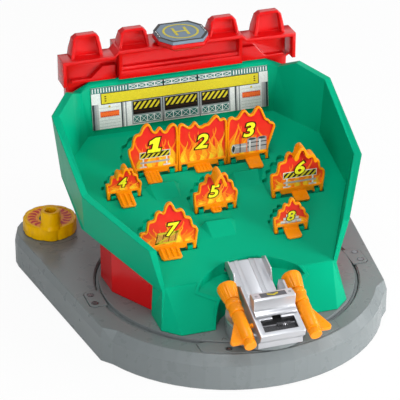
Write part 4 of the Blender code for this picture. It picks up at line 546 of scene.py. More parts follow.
def clip(points, limit, side):
    """Keep the part of an outline whose x lies above the limit, or below it for side -1."""
    kept = []
    for (x0, y0), (x1, y1) in zip(points, points[1:] + points[:1]):
        inside, following = side * (x0 - limit) >= 0, side * (x1 - limit) >= 0
        if inside:
            kept.append((x0, y0))
        if inside != following:
            share = (limit - x0) / (x1 - x0)
            kept.append((limit, y0 + share * (y1 - y0)))
    return kept


# Flames: the plate and its rim, the hinge slots and pins, the tab behind, the hood and the licks
FLAME_HALF = 0.0017
FLAME_EDGE = 0.0006
FLAME_RIM = 0.0018
FLAME_BACK = 0.0012
FLAME_FACE = 0.0002
NOTCH_HALF = 0.0026
NOTCH_TOP = 0.0044
NOTCH_INSET = 0.0052
FOOT_DROP = 0.0012
FLAME_LIFT = 0.0008
FLAME_PIN = 0.0012
TAB_THICKNESS = 0.0018
TAB_CORNER = 0.0014
RIB_SHARE = 0.26
RIB_PROUD = 0.4
HOOD_ROOT = 0.0009
HOOD_EDGE = 0.0003
TONGUE_WIDTH = 0.0090
FOOT_REACH = 0.001

# Flame outlines in per cent of their width and height, from the left foot over the top
ONE_SHAPE = ((12, 0), (3, 32), (0, 46), (1, 52), (6, 55), (8, 62), (10, 71), (13, 78), (17, 81),
             (23, 82), (28, 91), (34, 98), (40, 100), (45, 96), (50, 86), (55, 82), (59, 85.5),
             (64, 89.5), (69, 86), (72, 81), (76, 80), (81, 87), (87, 92), (92, 93), (97, 90),
             (100, 84), (100, 0))
TWO_SHAPE = ((0, 0), (0, 84), (2, 89), (5, 92), (10, 92), (16, 88), (23, 84), (29, 88), (34, 92.5),
             (39, 89), (43, 83), (49, 82), (55, 85), (60, 85), (67, 91.5), (74, 98.5), (79, 100),
             (84, 96), (87.5, 91), (94, 92), (98, 90), (100, 85), (100, 0))
THREE_SHAPE = ((0, 0), (0, 76), (2, 82), (5, 85), (11, 86), (17, 83), (21, 84), (26, 90),
               (31, 95.5), (36, 96.5), (41, 93), (46, 87), (51, 87), (56, 93), (60, 98.5),
               (65, 100), (70, 97), (74, 90), (78.5, 80), (82, 74), (87, 72), (91, 66.5), (96, 65),
               (100, 60), (99, 53), (96, 45), (92, 33), (87, 20), (86, 0))
PEAKED_SHAPE = ((3, 0), (0, 37), (1, 42), (5, 44), (10, 44), (12.5, 54), (15, 64), (19, 66),
                (24.5, 67), (27, 77), (30, 83), (35, 84.5), (40.5, 81), (44, 92), (48, 98.5),
                (53, 100), (57.5, 95.5), (61, 86), (64.5, 82), (69, 83), (74, 81.5), (77.5, 75),
                (80, 65.5), (84, 64), (88.5, 60.5), (91, 50), (93.5, 43), (97.5, 41), (100, 35.5),
                (99, 20), (96.5, 0))

# The number one in per cent of its height, which the font draws without a foot
ONE_DIGIT_SHAPE = ((-30, 0), (30, 0), (30, 17), (13, 17), (13, 100), (-6, 100), (-30, 80),
                   (-30, 62), (-10, 70), (-10, 17), (-30, 17))

# Name: (shape, tab centre share, tab length, tab width, ribs, digit's place in shares, digit height)
FLAMES = {
    "flame_1": (ONE_SHAPE, 0.452, 0.0139, 0.0126, 4, (0.551, 0.556), 0.0146),
    "flame_2": (TWO_SHAPE, 0.482, 0.0082, 0.0146, 5, (0.501, 0.490), 0.0150),
    "flame_3": (THREE_SHAPE, 0.519, 0.0134, 0.0128, 0, (0.464, 0.555), 0.0146),
    "flame_4": (PEAKED_SHAPE, 0.507, 0.0143, 0.0130, 3, (0.471, 0.416), 0.0093),
    "flame_5": (PEAKED_SHAPE, 0.492, 0.0050, 0.0090, 3, (0.469, 0.410), 0.0124),
    "flame_6": (PEAKED_SHAPE, 0.516, 0.0115, 0.0130, 0, (0.539, 0.483), 0.0130),
    "flame_7": (PEAKED_SHAPE, 0.486, 0.0116, 0.0176, 4, (0.547, 0.415), 0.0132),
    "flame_8": (PEAKED_SHAPE, 0.490, 0.0110, 0.0130, 0, (0.496, 0.415), 0.0096),
}

# Hoods over the peaks: (depth, slope, outer shape along the flame's own, inner shape)
LEFT_HOOD_SHAPE = ((24.5, 66), *PEAKED_SHAPE[9:18], (64.5, 78))
LEFT_HOLLOW_SHAPE = ((60, 77), (57, 86), (53, 92), (49, 90), (46, 82), (42, 72), (35, 77),
                     (31, 75), (29, 65))
PEAK_HOOD_SHAPE = ((39, 77), *PEAKED_SHAPE[13:18], (66.5, 72))
PEAK_HOLLOW_SHAPE = ((61.5, 71), (57, 84), (52.5, 92.5), (48.5, 87), (44, 76))
RIGHT_HOOD_SHAPE = ((38, 75), *PEAKED_SHAPE[13:22], (80, 66))
RIGHT_HOLLOW_SHAPE = ((75.5, 65), (73.5, 72), (70, 77), (64, 75), (59, 79), (55, 91), (52, 93),
                      (48, 88), (43, 74))
HOODS = {
    "flame_4": (0.0064, 0.10, LEFT_HOOD_SHAPE, LEFT_HOLLOW_SHAPE),
    "flame_5": (0.0105, 0.25, PEAK_HOOD_SHAPE, PEAK_HOLLOW_SHAPE),
    "flame_6": (0.0068, 0.08, RIGHT_HOOD_SHAPE, RIGHT_HOLLOW_SHAPE),
}

# Licks of fire: (ink, layer, place of the first, least height, height that varies, half width).
# Places and widths are in shares of the licks' pitch, and heights in shares of the room above.
TONGUES = (
    ("flame orange", 1.0, 0.50, 0.72, 0.22, 0.54),
    ("flame orange", 1.8, 0.98, 0.50, 0.34, 0.36),
    ("flame amber", 2.6, 0.56, 0.46, 0.30, 0.36),
    ("flame yellow", 3.4, 0.40, 0.20, 0.24, 0.24),
)
TONGUE_STEPS = 10
TONGUE_BEND = 1.7 * pi
TONGUE_SWAY = 0.75

# Digits: the one's height, the font's scale, how far both slant,
# and the (ink, growth, layer) of their outline and face
ONE_HEIGHT = 0.84
FONT_SCALE = 1.2
DIGIT_WIDTH = 1.18
DIGIT_SLANT = 0.24
DIGIT_COATS = (("brown", 0.10, 9), ("lemon", 0.035, 11))

# The ground that the flames' small pictures stand on
MOTIF_FOOT = FLAME_LIFT * 2 + NOTCH_TOP


def joint_place(name):
    """Where a joint's axis passes."""
    for joint in frame["joints"]:
        if joint["name"] == name:
            return Vector(joint["pos_m"])


def flame_size(name):
    """A flame's left edge, width and height over its hinge."""
    low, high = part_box(name)
    return low.x, high.x - low.x, high.z - joint_place(name + "_fall").z - FLAME_LIFT


def flame_points(name, shape):
    """Points in per cent of a flame's width and height, in metres, as soft outline points."""
    left, width, height = flame_size(name)
    return [(left + x / 100 * width, FLAME_LIFT + y / 100 * height, True) for x, y in shape]


def shrunk(points, amount):
    """Each point moved inwards along the outline's own normal."""
    area = sum(a[0] * b[1] - b[0] * a[1] for a, b in zip(points, points[1:] + points[:1]))
    turn = 1 if area > 0 else -1
    moved_points = []
    for before, here, after in zip(points[-1:] + points[:-1], points, points[1:] + points[:1]):
        before, spot, after = (Vector(point[:2]) for point in (before, here, after))
        run = (after - spot).normalized() + (spot - before).normalized()
        run = run.normalized() if run.length > 0.01 else Vector((1.0, 0.0))
        inward = Vector((-run.y, run.x)) * turn * amount
        moved_points.append((here[0] + inward.x, here[1] + inward.y, here[2]))
    return moved_points


def flame_outlines(name):
    """A flame's outer outline, the outline inside its rim, and the middles of its two hinge slots."""
    shape = FLAMES[name][0]
    left, width = flame_size(name)[:2]
    start, end = (left + shape[place][0] / 100 * width for place in (0, -1))
    first, last = start + NOTCH_INSET, end - NOTCH_INSET
    feet = [(end, -FOOT_DROP)]
    for middle, near, far in ((last, -FOOT_DROP, FLAME_LIFT), (first, FLAME_LIFT, -FOOT_DROP)):
        feet += [(middle + NOTCH_HALF, near), (middle + NOTCH_HALF, NOTCH_TOP),
                 (middle - NOTCH_HALF, NOTCH_TOP), (middle - NOTCH_HALF, far)]
    feet.append((start, -FOOT_DROP))
    top = flame_points(name, shape[1:-1])
    floor = FLAME_LIFT + NOTCH_TOP + FLAME_RIM / 2
    plain = top + hard([(end, 0.0), (start, 0.0)])
    inner = [(x, max(y, floor), soft) for x, y, soft in shrunk(plain, FLAME_RIM)]
    return top + hard(feet), inner, (first, last)


def make_hood(name):
    """A collar round a flame's peak that stands forward and leans down a little."""
    depth, slope, outer, hollow = HOODS[name]
    hood = outline_mesh(name + "_hood", [flame_points(name, outer + hollow)], depth / 2, HOOD_EDGE, 3)
    lean = Matrix.Identity(4)
    lean[1][2] = -slope
    return moved(hood, raised(HOOD_ROOT) @ lean @ raised(depth / 2))


def make_tab(name, hinge):
    """The ribbed tab behind a flame, which lies along the tray's floor."""
    tab, reach, tab_width, ribs = FLAMES[name][1:5]
    left, width = flame_size(name)[:2]
    tab_x = left + tab * width
    half = tab_width / 2
    near = FLAME_HALF / 2
    far = FLAME_HALF + reach
    corner = TAB_CORNER
    plan = [(-half, -near), (-half, corner - far), (corner - half, -far),
            (half - corner, -far), (half, corner - far), (half, -near)]
    plan = hard([(tab_x + x, y) for x, y in plan])
    pieces = [outline_mesh(name + "_tab", [plan], TAB_THICKNESS / 2, FLAME_EDGE / 2)]
    for k in range(ribs):
        x = tab_x + tab_width * ((k + 0.5) / ribs - 0.5)
        radius = tab_width / ribs * RIB_SHARE
        rib = rod_mesh("rib", (x, -near, 0.0), (x, corner / 2 - far, 0.0), radius, 12)
        pieces.append(moved(rib, raised(TAB_THICKNESS / 2 - radius * RIB_PROUD)))
    lay = Matrix.Rotation(FLOOR_SLOPE, 4, "X")
    lift = FLAME_LIFT + TAB_THICKNESS / 2 + FLAME_LIFT / 2
    return moved(merged(name + "_tab", pieces), Matrix.Translation((0.0, hinge.y, hinge.z + lift)) @ lay)


def make_flame(name):
    """A flame's plate with rim, pins and tab, its fire print, its picture and its number."""
    (across, up), digit = FLAMES[name][5:]
    hinge = joint_place(name + "_fall")
    left, width, height = flame_size(name)
    outer, inner, notches = flame_outlines(name)
    stand = upright(hinge.y, hinge.z)
    ring = outline_mesh(name + "_ring", [outer, inner], FLAME_HALF, FLAME_EDGE)
    back = outline_mesh(name + "_back", [shrunk(inner, -FLAME_RIM / 3)], (FLAME_BACK + FLAME_FACE) / 2)
    parts = [ring, moved(back, raised((FLAME_FACE - FLAME_BACK) / 2))]
    if name in HOODS:
        parts.append(make_hood(name))
    pieces = [moved(merged("plate", parts), stand), make_tab(name, hinge)]
    for x in notches:
        ends = [(x + side * NOTCH_HALF * 1.2, hinge.y, hinge.z) for side in (-1, 1)]
        pieces.append(rod_mesh("pin", *ends, FLAME_PIN, 16))
    add_piece(name + "_look", merged(name + "_look", pieces), "orange", name, None, True)

    sheet = outline_mesh(name + "_print", [shrunk(inner, -FLAME_RIM / 5)])
    moved(sheet, raised(FLAME_FACE + PRINT_LIFT))
    layer = sheet.uv_layers.new(name="print")
    number = int(name[-1])
    for loop in sheet.loops:
        spot = sheet.vertices[loop.vertex_index].co
        layer.data[loop.index].uv = (spot.x / width + number, (spot.y - FLAME_LIFT) / height)
    add_piece(name + "_print", sheet, "fire", name, stand)
    motif = Print(name + "_motif")
    draw_tongues(motif, inner, number)
    if name in MOTIFS:
        motif.unit = width
        motif.origin = (left, MOTIF_FOOT)
        MOTIFS[name](motif, height / width)
    motif.build(name, stand @ raised(FLAME_FACE + PRINT_LIFT))
    make_digit(name, str(number), (left + across * width, FLAME_LIFT + up * height), digit, stand)


def top_at(outline, x):
    """The height of an outline's upper line at x."""
    heights = []
    for (x0, y0, soft), (x1, y1, ignored) in zip(outline, outline[1:] + outline[:1]):
        if x0 != x1 and min(x0, x1) <= x <= max(x0, x1):
            heights.append(y0 + (y1 - y0) * (x - x0) / (x1 - x0))
    return max(heights, default=0.0)


def tongue(x, low, tall, half, sway):
    """The outline of one curling lick of fire, from its foot to its point and back."""
    left, right = [], []
    for k in range(TONGUE_STEPS):
        share = k / TONGUE_STEPS
        wide = half * (1.0 - share) ** 0.8 * (0.85 + 0.4 * sin(2.0 * pi * share))
        middle = x + sway * (0.3 + share) * sin(TONGUE_BEND * share)
        left.append((middle - wide, low + tall * share))
        right.append((middle + wide, low + tall * share))
    tip = (x + sway * 1.3 * sin(TONGUE_BEND), low + tall)
    return left + [tip] + right[::-1]


def draw_tongues(art, inner, number):
    """Licks of orange and yellow fire that rise from the foot of the print."""
    low = min(y for x, y, soft in inner)
    foot = [x for x, y, soft in inner if y < low + FOOT_REACH]
    start, end = min(foot), max(foot)
    count = round((end - start) / TONGUE_WIDTH)
    pitch = (end - start) / count
    for key, layer, offset, least, more, share in TONGUES:
        for k in range(count if offset < 0.9 else count - 1):
            wave = 0.5 + 0.5 * sin(2.4 * k * k + 1.9 * number + layer)
            x = start + pitch * (k + offset)
            room = min(top_at(inner, x + pitch * step) for step in (-0.35, 0.0, 0.35)) - low
            tall = max(room, pitch) * (least + more * wave)
            sway = pitch * share * copysign(TONGUE_SWAY, sin(5.1 * k + number + layer))
            art.shape(tongue(x, low, tall, pitch * share, sway), key, layer + 0.4 * (k % 2))


def digit_mesh(text, size, grow):
    """A number as a flat mesh round its own middle; the one is drawn with a foot."""
    if text == "1":
        points = [(x / 100 * size, (y / 100 - 0.5) * size * ONE_HEIGHT, False) for x, y in ONE_DIGIT_SHAPE]
        return outline_mesh("digit", [points], 0.0, 0.0, 1, grow)
    curve = bpy.data.curves.new("digit", "FONT")
    curve.body = text
    curve.size = size * FONT_SCALE
    curve.offset = grow
    curve.align_x = "CENTER"
    curve.align_y = "CENTER"
    curve.resolution_u = 6
    return mesh_of("digit", curve)


def make_digit(name, text, centre, size, stand):
    """A slanted number with a dark outline."""
    slant = Matrix.Identity(4)
    slant[0][0] = DIGIT_WIDTH
    slant[0][1] = DIGIT_SLANT
    for key, grow, layer in DIGIT_COATS:
        height = FLAME_FACE + PRINT_LIFT * 2 + PRINT_LAYER * layer
        place = stand @ Matrix.Translation((*centre, height)) @ slant
        add_piece(f"{name}_digit_{key}", moved(digit_mesh(text, size, grow * size), place), key, name)


def barrier_motif(art, tall):
    """A striped work barrier on two legs, like all motifs in shares of the flame's width."""
    start, end, rim = 0.24, 0.84, 0.012
    foot, low, high = tall * 0.02, tall * 0.20, tall * 0.31
    for x in (start + 0.06, end - 0.06):
        art.line((x, foot), (x, high), 0.03, "paper", 4)
        art.line((x - 0.07, foot), (x + 0.07, foot), 0.03, "paper", 4)
    art.rect(start, tall * 0.09, end, tall * 0.125, "steel ink", 5)
    art.rect(start - rim, low - rim, end + rim, high + rim, "paper", 5)
    art.rect(start, low, end, high, "black", 6)
    art.stripes(start, low, end, high, 0.10, "gold", 7)


def drums_motif(art, tall):
    """Three metal drums, one of them lying down."""
    base, size = tall * 0.03, 0.27
    for x in (0.52, 0.73):
        art.bar(x, size * 0.36, base, base + size, "steel ink", 4)
        for up in (0.33, 0.66):
            art.bar(x, size * 0.38, base + size * up, base + size * (up + 0.08), "dark grey", 5)
        art.rect(x - size * 0.22, base, x - size * 0.10, base + size, "paper", 6)
        art.disc((x, base + size), size * 0.36, size * 0.12, "mid grey", 6)
        art.disc((x, base + size), size * 0.27, size * 0.08, "dark grey", 7)
    x = 0.27
    start, end, top = x - size * 0.52, x + size * 0.50, base + size * 0.72
    art.rect(start, base, end, top, "steel ink", 5)
    art.rect(start, base + size * 0.42, end, base + size * 0.54, "paper", 6)
    art.bar(x, size * 0.04, base, top, "dark grey", 6)
    art.disc((start, base + size * 0.36), size * 0.16, size * 0.36, "paper", 6)
    art.disc((start, base + size * 0.36), size * 0.10, size * 0.27, "dark grey", 7)


def crate_motif(art, tall):
    """A leaning wooden crate."""
    base, high, lean = tall * 0.02, tall * 0.24, 0.05
    top = base + high
    start, end = 0.27, 0.63
    art.shape([(start, base), (end, base), (end + lean, top), (start + lean, top)], "wood", 4)
    for share in (0.0, 0.30, 0.60, 0.90):
        x = start + (end - start) * share
        art.line((x, base), (x + lean, top), 0.012, "brown", 5)
    for up in (0.06, 0.90):
        y = base + high * up
        art.line((start + lean * up, y), (end + lean * up, y), 0.03, "gold", 6)
    art.line((start, base), (end + lean, top), 0.025, "gold", 6)


def bricks_motif(art, tall):
    """A heap of pale blocks."""
    size = 0.15
    for row, count in enumerate((4, 3, 2)):
        y = tall * 0.02 + row * size * 0.62
        for k in range(count):
            x = 0.5 + size * (k - count / 2 + 0.5)
            art.bar(x, size * 0.45, y, y + size * 0.56, "paper", 4 + row)
            art.bar(x, size * 0.45, y, y + size * 0.14, "steel ink", 7)


MOTIFS = {
    "flame_1": barrier_motif,
    "flame_3": drums_motif,
    "flame_6": barrier_motif,
    "flame_7": crate_motif,
    "flame_8": bricks_motif,
}

# Facade: counts, the shutters' ends, and thin upright bars as (place or shift, ink), in shares
PICKETS = 64
BOXES = 12
SHUTTERS = ((-0.546, -0.232), (-0.188, 0.188), (0.232, 0.546))
SHUTTER_BOXES = 4
COLUMN_BARS = ((-0.022, "dark grey"), (-0.008, "steel ink"), (0.008, "paper"), (0.022, "mid grey"))
EDGE_BARS = ((0.986, "dark grey"), (0.962, "mid grey"), (0.938, "steel ink"))
SIDING_ROWS = 7


def panel_plane(node):
    """The middle of a panel's lower front edge, its lean, its height and its half width."""
    mesh = frame["nodes"][node].data
    front = [mesh.vertices[i].co for face in mesh.polygons if face.normal.y < -0.8 for i in face.vertices]
    low = min(front, key=lambda co: co.z)
    high = max(front, key=lambda co: co.z)
    lean = atan2(high.y - low.y, high.z - low.z)
    tall = hypot(high.y - low.y, high.z - low.z)
    return Vector((0.0, low.y, low.z)), lean, tall, max(co.x for co in front)


def make_facade():
    """A generic workshop front, in shares of the panel's half width.

    It has a sign board, three striped shutters, trusses and side panels.
    """
    origin, lean, height, half = panel_plane("facade_panel")
    tall = height / half
    low, high, top = tall * 0.605, tall * 0.845, tall * 0.865
    art = Print("facade_print", half)
    art.rect(-1.0, 0.0, 1.0, tall, "paper")
    art.rect(-1.0, top, 1.0, tall, "teal", 1)
    for k in range(PICKETS):
        x = (k + 0.5) * 2 / PICKETS - 1.0
        if abs(x) > 0.60:
            art.bar(x, 0.006, tall * 0.88, tall * 0.985, "paper", 2)
    span = 1.16
    trusses(art, -span / 2, tall * 0.875, span / 2, tall * 0.99, 0.0065, BOXES)
    for x in (-span / 6, span / 6):
        art.bar(x, 0.008, top, tall, "black", 6)
    board, rim = 0.89, 0.008
    art.rect(-board - rim, low - rim, board + rim, high + rim, "black", 3)
    art.rect(-board, low, board, high, "gold", 4)
    for side in (-1, 1):
        for up in (0.28, 0.50, 0.72):
            y = low + (high - low) * up
            art.bar(side * board * 0.95, 0.010, y - 0.006, y + 0.006, "brown", 5)
    rim = 0.014
    for start, end in SHUTTERS:
        art.rect(start - rim, tall * 0.02, end + rim, low - tall * 0.02, "mid grey", 1)
        art.rect(start, tall * 0.25, end, low - tall * 0.035, "black", 2)
        art.stripes(start + rim, tall * 0.37, end - rim, low - tall * 0.06, 0.058, "gold", 3, 0.8)
        art.rect(start + rim, tall * 0.315, end - rim, tall * 0.33, "brown", 3)
        art.rect(start, tall * 0.04, end, tall * 0.23, "teal", 2)
        trusses(art, start, tall * 0.05, end, tall * 0.22, 0.0055, SHUTTER_BOXES)
    for side in (-1, 1):
        for shift, key in COLUMN_BARS:
            art.bar(side * 0.645 + shift, 0.008, 0.0, low, key, 2)
        for place, key in EDGE_BARS:
            art.bar(side * place, 0.012, 0.0, low, key, 2)
        art.bar(side * 0.21, 0.006, 0.0, low, "dark grey", 1)
        inner, outer = sorted((side * 0.69, side * 0.92))
        for row in range(SIDING_ROWS):
            y = tall * (0.05 + 0.075 * row)
            art.rect(inner, y, outer, y + tall * 0.008, "steel ink", 1)
        art.rect(inner + 0.01, tall * 0.29, outer - 0.01, tall * 0.42, "ink orange", 3)
        for up in (0.29, 0.395):
            art.stripes(inner + 0.01, tall * up, outer - 0.01, tall * (up + 0.025), 0.022, "ink red", 4)
        art.disc(((inner + outer) / 2, tall * 0.53), 0.012, 0.012, "gold", 4)
    art.build("facade_panel", Matrix.Translation(origin) @ Matrix.Rotation(-lean, 4, "X") @ QUARTER_TURN)


def trusses(art, left, low, right, high, width, count):
    """A row of boxes with crossed braces."""
    step = (right - left) / count
    for k in range(count):
        x0, x1 = left + k * step, left + (k + 1) * step
        art.frame(x0, low, x1, high, width, "paper", 3)
        art.line((x0 + width, low + width), (x1 - width, high - width), width, "paper", 4)
        art.line((x0 + width, high - width), (x1 - width, low + width), width, "paper", 5)


def make_pad_print():
    """Landing ring with an H, a dark border and pale edge dashes, in shares of the plate's half width."""
    low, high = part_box("landing_plate")
    half = (high.x - low.x) / 2
    tall = (high.y - low.y) / 2 / half
    art = Print("landing_print", half)
    cut_x, cut_y = 1.0 - 0.385, tall * (1.0 - 0.58)
    outer = [(cut_x, -tall), (1.0, -cut_y), (1.0, cut_y), (cut_x, tall),
             (-cut_x, tall), (-1.0, cut_y), (-1.0, -cut_y), (-cut_x, -tall)]
    inner = [(x * 0.885, y * 0.885) for x, y in outer]
    for k in range(len(outer)):
        j = (k + 1) % len(outer)
        art.shape([outer[k], outer[j], inner[j], inner[k]], "black")
        if k in (1, 5):
            for start in (0.12, 0.42, 0.72):
                ends = [Vector(outer[k]).lerp(Vector(outer[j]), start + step) * 0.94 for step in (0.0, 0.2)]
                art.line(*ends, 0.04, "paper", 1)
    ring = 0.72
    art.ring(CENTRE, ring, ring * 0.875, "gold", 1)
    x, y, stroke = ring * 0.33, ring * 0.52, ring * 0.15
    for side in (-1, 1):
        art.line((side * x, -y), (side * x, y), stroke, "gold", 1)
    art.line((-ring * 0.30, 0.0), (ring * 0.30, 0.0), stroke, "gold", 2)
    art.build("landing_plate", Matrix.Translation(((low.x + high.x) / 2, (low.y + high.y) / 2, high.z)))


# Dial
DIAL_FLUTES = 12
FLUTE_DEPTH = 0.022
DIAL_STEPS = 144
DIAL_HEIGHT = 0.0118
DIAL_EDGE = 0.0012
DISH_SINK = 0.0006
CAP_SINK = 0.0016
CAP_RADIUS = 0.0092
CAP_STICKER = 0.0066
POST_AT = 0.0158
POST_TURN = radians(259.5)
POST_RADIUS = 0.0085
HEEL_REACH = 0.006
DASHES = 20
DASH_STEPS = 6
DASH_BEND = radians(5.5)
DASH_INNER = 0.0122
DASH_OUTER = 0.0190
DASH_HALF = 0.0017
DASH_POST_GAP = 0.0105
RING_INNER = 0.0102
RING_OUTER = 0.0196

# Turned profiles in millimetres: (radius, height over the level that the group starts from)
DISH_ROWS = ((9.8, -0.6), (9.4, -0.9), (9.3, -1.6), (0.0, -1.6))
POST_FOOT_ROWS = ((9.7, -1.0), (9.2, 0.4), (8.6, 1.2), (8.5, 3.0))
POST_RIM_ROWS = ((8.5, -1.2), (8.1, -0.3), (7.2, 0.0), (5.6, 0.0), (4.8, -0.4), (4.6, -1.2),
                 (4.3, -13.0), (0.0, -13.0))
GRIP_CAP_ROWS = ((0.0, 0.0), (4.4, 0.0), (4.9, 0.4), (5.0, 1.0), (5.0, 4.5), (4.8, 4.9), (4.4, 5.2),
                 (4.4, 5.7), (5.3, 6.2), (5.3, 8.5), (5.6, 9.2))
GRIP_RING_ROWS = ((5.6, -2.2), (5.4, -1.4), (4.8, -1.1), (4.8, -0.3), (5.8, 0.0), (6.0, 0.6),
                  (6.0, 3.6), (5.8, 4.4))
GRIP_BELL_ROWS = ((5.6, -4.6), (6.3, -4.2), (6.5, -3.6), (6.5, -1.4), (6.2, -0.7), (5.2, -0.5),
                  (5.2, 0.4), (6.1, 0.7), (6.6, 3.0))
GRIP_MOUTH_ROWS = ((7.6, -7.5), (8.1, -3.5), (8.2, -1.4), (7.9, -0.4), (7.3, 0.0), (6.4, 0.0),
                   (6.1, -0.4), (5.7, -6.0), (0.0, -6.0))


def rows(start, group):
    """A group of profile rows in metres, over the level it starts from."""
    return [(radius / 1000, start + height / 1000) for radius, height in group]


def dial_flute(angle, row):
    """The scallops of the dial's wall, which lies between its first and last rounded edge."""
    if 1 <= row <= 6:
        return 1.0 - FLUTE_DEPTH * (0.5 + 0.5 * cos(DIAL_FLUTES * angle)) ** 3
    return 1.0


def dash_outline(turn):
    """One bent dash of the dial's ring, thickest towards its outer end."""
    left, right = [], []
    for step in range(DASH_STEPS + 1):
        share = step / DASH_STEPS
        reach = DASH_INNER + (DASH_OUTER - DASH_INNER) * share
        bend = turn - DASH_BEND * sin(pi * share)
        half = (0.35 + 0.65 * sin(pi * (0.15 + 0.75 * share))) * DASH_HALF / reach
        left.append(on_circle(CENTRE, reach, bend + half))
        right.append(on_circle(CENTRE, reach, bend - half))
    return left + right[::-1]


def make_dial():
    """The fluted dial with its dished face, capped screw, off-centre post and printed ring."""
    centre = joint_place("dial_turn")
    low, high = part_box("dial")
    radius = high.x - centre.x
    foot, peak = low.z, high.z
    top = foot + DIAL_HEIGHT
    edge = DIAL_EDGE
    profile = [(radius - 0.003, foot), (radius - edge / 3, foot), (radius, foot + edge / 3),
               (radius, foot + 0.003), (radius, top - edge), (radius - edge * 0.3, top - edge * 0.3),
               (radius - edge, top), (radius - 0.0032, top), (radius - 0.0038, top - DISH_SINK)]
    disc = lathe_mesh("cap", profile + rows(top, DISH_ROWS), DIAL_STEPS, dial_flute)
    middle = Matrix.Translation((centre.x, centre.y, 0.0))
    moved(disc, middle)
    post = on_circle(centre, POST_AT, POST_TURN)
    shaft = lathe_mesh("post", rows(top, POST_FOOT_ROWS) + rows(peak, POST_RIM_ROWS), 48)
    moved(shaft, Matrix.Translation((*post, 0.0)))
    front = [(*on_circle(post, POST_RADIUS, radians(turn)), True) for turn in range(180, 361, 20)]
    rear = hard([(post[0] + side * POST_RADIUS, post[1] + HEEL_REACH) for side in (1, -1)])
    heel = outline_mesh("heel", [front + rear], (top - foot) / 2, edge / 2)
    moved(heel, raised((top + foot) / 2))
    add_piece("dial_look", merged("dial_look", [disc, shaft, heel]), "yellow", "dial", None, True)
    art = Print("dial_print")
    for k in range(DASHES):
        turn = 2 * pi * k / DASHES
        spot = Vector(on_circle(centre, (DASH_INNER + DASH_OUTER) / 2, turn))
        if (spot - Vector(post)).length > DASH_POST_GAP:
            art.shape(dash_outline(turn), "ink red", 1)
    art.ring(CENTRE, RING_OUTER, RING_INNER, "amber")
    art.build("dial", middle @ raised(top - DISH_SINK))
    cap = Print("dial_cap_print")
    cap.disc(CENTRE, CAP_RADIUS, CAP_RADIUS, "dark grey", 0, 40)
    cap.disc(CENTRE, CAP_STICKER, CAP_STICKER, "sticker", 1, 40)
    cap.build("dial", middle @ raised(top - CAP_SINK))


# Grips: the right grip's axis, the end of its cap, and its length; then the fin and the boss
GRIP_X = 0.0272
GRIP_CAP_Y = -0.1363
GRIP_CAP_Z = 0.0450
GRIP_LENGTH = 0.0628
GRIP_BELL = GRIP_LENGTH - 0.0165
GRIP_RING = GRIP_LENGTH - 0.0290
GRIP_FLUTES = 12
GRIP_FLUTE_DEPTH = 0.085
FIN_HALF = 0.0017
FIN_EDGE = 0.0006
FIN_INNER = 0.0035
FIN_OUTER = 0.0146
FIN_CORNER = 0.0022
FIN_LOW = 0.0040
BOSS_INNER = 0.003
BOSS_OUTER = 0.0082
BOSS_RADIUS = 0.002
BOSS_HEIGHT = 0.020


def grip_flute(angle, row):
    """The flutes of the bell, which lie between its last row and the mouth's first."""
    first = len(GRIP_CAP_ROWS + GRIP_RING_ROWS + GRIP_BELL_ROWS) - 1
    if first <= row <= first + 1:
        return 1.0 - GRIP_FLUTE_DEPTH * max(0.0, cos(GRIP_FLUTES * angle)) ** 2
    return 1.0


def make_nozzle(side, name):
    """A fire nozzle: fluted bell, collars, barrel, capped end and a fin."""
    profile = rows(0.0, GRIP_CAP_ROWS) + rows(GRIP_RING, GRIP_RING_ROWS)
    profile += rows(GRIP_BELL, GRIP_BELL_ROWS) + rows(GRIP_LENGTH, GRIP_MOUTH_ROWS)
    body = lathe_mesh("grip", profile, 96, grip_flute)
    fin = [(FIN_INNER, 0.0042), (FIN_OUTER - FIN_CORNER, FIN_LOW), (FIN_OUTER - FIN_CORNER * 0.3, 0.0046),
           (FIN_OUTER, FIN_LOW + FIN_CORNER), (FIN_OUTER, FIN_LOW + FIN_CORNER * 1.6), (FIN_INNER, 0.0300)]
    plate = outline_mesh("fin", [hard([(side * x, y) for x, y in fin])], FIN_HALF, FIN_EDGE)
    ends = [(-side * reach, 0.0, BOSS_HEIGHT) for reach in (BOSS_OUTER, BOSS_INNER)]
    look = merged(name + "_look", [body, moved(plate, QUARTER_TURN), rod_mesh("boss", *ends, BOSS_RADIUS)])
    place = Matrix.Translation((side * GRIP_X, GRIP_CAP_Y, GRIP_CAP_Z))
    lay = place @ Matrix.Rotation(LAUNCH_SLOPE - radians(90), 4, "X")
    add_piece(name + "_look", look, "orange", name, lay, True, ROUNDED_SMOOTH)


# Slider block: how far its face lies behind the lip, and its print from the face's upper edge back
SLIDER_FACE = 0.0033
SLIDER_HOLLOW = 0.0044
SLIDER_EDGE = 0.0006
SLIDER_STICKER = (-0.0108, 0.0022, 0.0108, 0.0086)
CHEVRON = ((-0.0046, 0.0076), (0.0, 0.0054), (0.0046, 0.0076),
           (0.0046, 0.0056), (0.0, 0.0033), (-0.0046, 0.0056))
RIVET_AT = (0.0140, 0.0054)
RIVET_OUTER = 0.0011
RIVET_INNER = 0.0006


